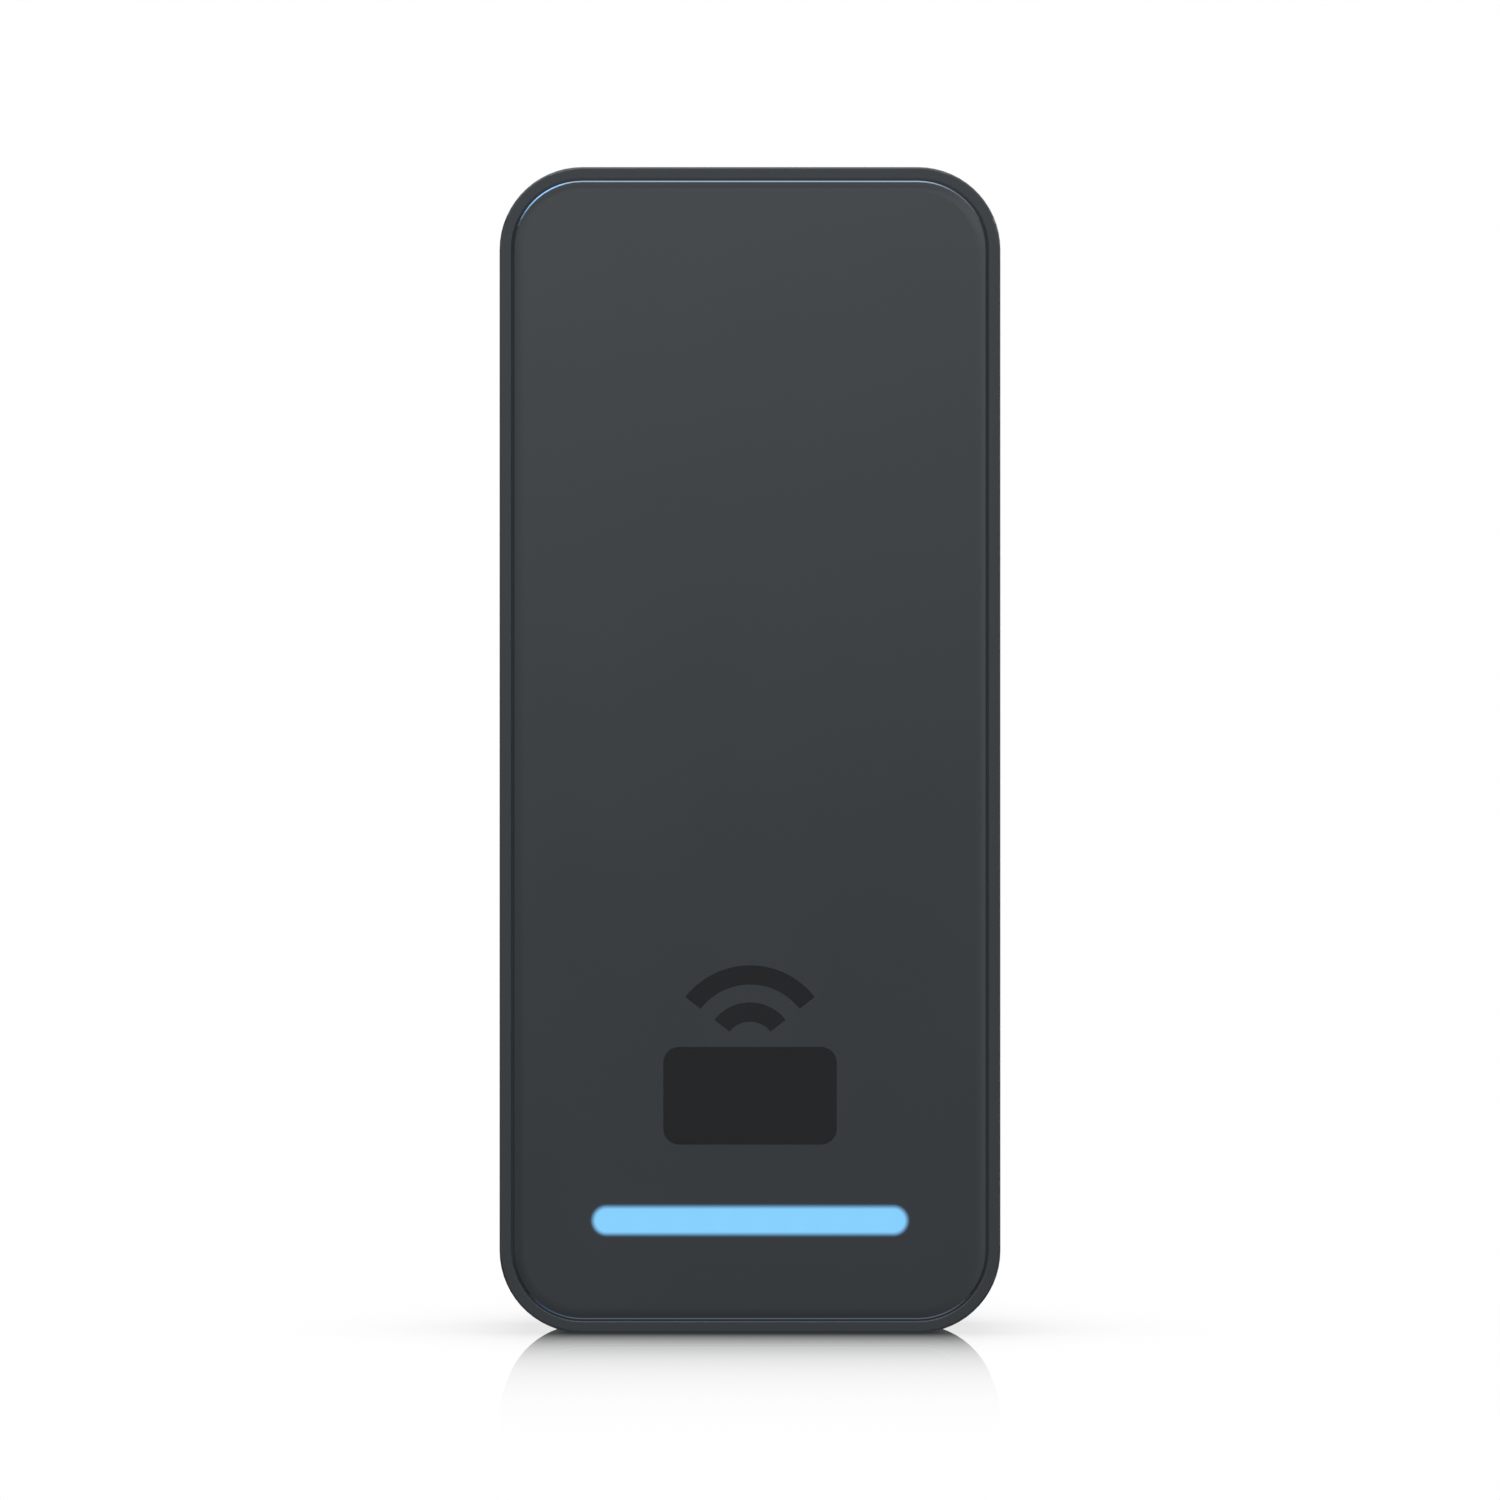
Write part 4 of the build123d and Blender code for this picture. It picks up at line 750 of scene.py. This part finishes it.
spring_low, spring_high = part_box("tamper_spring")
spring_centre = ((spring_low.x + spring_high.x) / 2, (spring_low.z + spring_high.z) / 2)
coil = coil_maker(
    spring_centre, SPRING_RADIUS, WIRE_RADIUS, spring_low.y, spring_high.y, SPRING_TURNS, SPRING_END_TURNS
)
spring = new_piece("plunger_spring", coil, "spring_steel", None, "tamper_spring")
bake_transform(spring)


# ---- Floor -------------------------------------------------------------------------------------
def contact_shade(look, x, y):
    """How much light the reader keeps off the floor: it reaches further behind than in front."""
    beside = look.calc("SUBTRACT", look.calc("ABSOLUTE", x), CASE_HIGH.x)
    beside = look.calc("MAXIMUM", beside, -3 * MM)
    before = look.calc("MAXIMUM", look.calc("SUBTRACT", FRONT_Y, y), 0.0)
    behind = look.calc("MAXIMUM", y, 0.0)
    power = look.calc("DIVIDE", beside, SHADE_BESIDE)
    power = look.calc("ADD", power, look.calc("DIVIDE", before, SHADE_BEFORE))
    power = look.calc("ADD", power, look.calc("DIVIDE", behind, SHADE_BEHIND))
    shade = look.calc("MULTIPLY", look.calc("EXPONENT", look.calc("MULTIPLY", power, -1.0)), FLOOR_SHADE)
    open_sky = look.add("ShaderNodeAmbientOcclusion", {"Distance": SHADE_REACH}, samples=8).outputs["AO"]
    return look.calc("MULTIPLY", shade, look.remap(open_sky, 0.99, 0.82, 0.0, 1.0, smooth=True))


def floor_look():
    """Glossy white floor: a mirror that fades away from the reader, contact shade, clear from below."""
    look = Look("studio_floor")
    look.tree.nodes.remove(look.shader)
    surface = look.add("ShaderNodeNewGeometry").outputs
    x, y, _ = look.split(surface["Position"])
    depth = -FRONT_Y / 2
    beside = look.calc("SUBTRACT", look.calc("ABSOLUTE", x), CASE_HIGH.x - FLOOR_INSET)
    beside = look.calc("MAXIMUM", beside, 0.0)
    offset = look.calc("ABSOLUTE", look.calc("ADD", y, depth))
    before = look.calc("MAXIMUM", look.calc("SUBTRACT", offset, depth), 0.0)
    squares = look.calc("ADD", look.calc("MULTIPLY", beside, beside), look.calc("MULTIPLY", before, before))
    fade = look.calc("EXPONENT", look.calc("DIVIDE", look.calc("SQRT", squares), -FLOOR_FADE))
    bounce = look.add("ShaderNodeFresnel", {"IOR": FLOOR_IOR}).outputs[0]
    mirror = look.calc("MULTIPLY", look.calc("MULTIPLY", bounce, FLOOR_GLOSS), fade, clamp=True)
    seen = look.calc("SUBTRACT", 1.0, contact_shade(look, x, y))
    path = look.add("ShaderNodeLightPath").outputs
    mirror = look.calc("MULTIPLY", mirror, path["Is Camera Ray"])
    direct = look.calc("MAXIMUM", path["Is Camera Ray"], path["Is Singular Ray"])
    level = look.calc("MULTIPLY", seen, look.remap(direct, 0, 1, FLOOR_BOUNCE, 1))
    glow = look.add("ShaderNodeEmission", {"Strength": level})
    tint = look.add("ShaderNodeCombineColor", {0: seen, 1: seen, 2: seen}).outputs[0]
    glass = look.add("ShaderNodeBsdfAnisotropic", {"Color": tint, "Roughness": 0.0})
    both = look.add("ShaderNodeMixShader", {0: mirror, 1: glow.outputs[0], 2: glass.outputs[0]})
    clear = look.add("ShaderNodeBsdfTransparent").outputs[0]
    sided = look.add("ShaderNodeMixShader", {0: surface["Backfacing"], 1: both.outputs[0], 2: clear})
    look.plug(look.tree.nodes["Material Output"].inputs["Surface"], sided.outputs[0])
    return look.material


def plane(name, size, material):
    """A flat sheet that belongs to the stage."""
    mesh = bpy.data.meshes.new(name)
    shape = bmesh.new()
    bmesh.ops.create_grid(shape, x_segments=1, y_segments=1, size=0.5)
    bmesh.ops.scale(shape, vec=(*size, 1), verts=shape.verts)
    shape.to_mesh(mesh)
    shape.free()
    mesh.materials.append(material)
    sheet = bpy.data.objects.new(name, mesh)
    bpy.context.scene.collection.objects.link(sheet)
    return sheet


plane("floor", (6.0, 6.0), floor_look()).location = (0, 0, CASE_LOW.z - FLOOR_CLEARANCE)


# ---- Backdrop and light ------------------------------------------------------------------------
def backdrop():
    """White where the camera looks past the reader; for the rest a studio bright in front, dim behind."""
    world = bpy.data.worlds.new("studio")
    bpy.context.scene.world = world
    world.use_nodes = True
    look = Graph(world.node_tree)
    path = look.add("ShaderNodeLightPath").outputs
    direct = look.calc("MAXIMUM", path["Is Camera Ray"], path["Is Singular Ray"])
    towards = look.add("ShaderNodeTexCoord").outputs["Generated"]
    _, rearward, upward = look.split(towards)
    level = look.remap(rearward, -0.6, 0.3, STUDIO_FRONT, STUDIO_REAR, smooth=True)
    level = look.calc("MULTIPLY", level, look.remap(upward, -0.5, 0.1, 0.3, 1.0, smooth=True))
    background = look.tree.nodes["Background"]
    look.plug(background.inputs["Color"], look.blend(direct, STUDIO_COLOUR, (1, 1, 1, 1)))
    look.plug(background.inputs["Strength"], look.calc("MAXIMUM", level, direct))


def reflection_card():
    """A large card in front, brighter towards its upper left, that the satin panel mirrors."""
    look = Look("card")
    look.tree.nodes.remove(look.shader)
    across, up, _ = look.axes()
    slant = look.calc("SUBTRACT", up, look.calc("MULTIPLY", across, CARD_LEAN))
    glow = look.remap(slant, CARD_DARK_AT, CARD_BRIGHT_AT, 0.0, CARD_LEVEL)
    glow = look.calc("MULTIPLY", glow, look.remap(up, *CARD_TOP_FADE, 1.0, 0.0, smooth=True))
    light = look.add("ShaderNodeEmission", {"Color": STUDIO_COLOUR, "Strength": glow})
    look.plug(look.tree.nodes["Material Output"].inputs["Surface"], light.outputs[0])
    card = plane("card", (1.0, 1.0), look.material)
    card.location = (0, FRONT_Y - CARD_DISTANCE, 0)
    card.rotation_euler = (pi / 2, 0, 0)
    card.visible_camera = False
    card.visible_diffuse = False


def softbox(name, place, aim, size, power, colour):
    """A rectangular soft light, hidden from the camera."""
    data = bpy.data.lights.new(name, "AREA")
    data.shape = "RECTANGLE"
    data.size, data.size_y = size
    data.energy = power
    data.color = colour
    lamp = bpy.data.objects.new(name, data)
    lamp.location = place
    lamp.rotation_mode = "QUATERNION"
    lamp.rotation_quaternion = (Vector(aim) - Vector(place)).to_track_quat("-Z", "Y")
    lamp.visible_camera = False
    bpy.context.scene.collection.objects.link(lamp)


backdrop()
reflection_card()
softbox("key", (-0.25, -0.62, 0.95), (0, 0, 0.02), (0.6, 0.6), 11.0, WHITE)
softbox("overhead", (0.0, -0.02, 0.7), (0, -0.01, 0), (0.6, 0.25), 2.8, COOL_WHITE)
softbox("side", (1.1, 0.0, 0.35), (0, 0, 0), (0.5, 0.8), 4.0, WHITE)
softbox("rear_left", (-0.7, 0.95, 0.7), (0, 0, 0), (0.8, 0.8), 9.0, WHITE)
softbox("rear_right", (0.9, 0.8, 0.35), (0, 0, 0), (0.8, 0.9), 9.0, WARM_WHITE)

camera_data = bpy.data.cameras.new("camera")
camera_data.sensor_width = SENSOR
camera_data.lens = SENSOR * CAMERA_DISTANCE / FRAME_WIDTH
camera = bpy.data.objects.new("camera", camera_data)
camera.location = (0, FRONT_Y - CAMERA_DISTANCE, 0)
camera.rotation_euler = (pi / 2, 0, 0)
bpy.context.scene.collection.objects.link(camera)
bpy.context.scene.camera = camera
bpy.context.scene.view_settings.view_transform = "Standard"
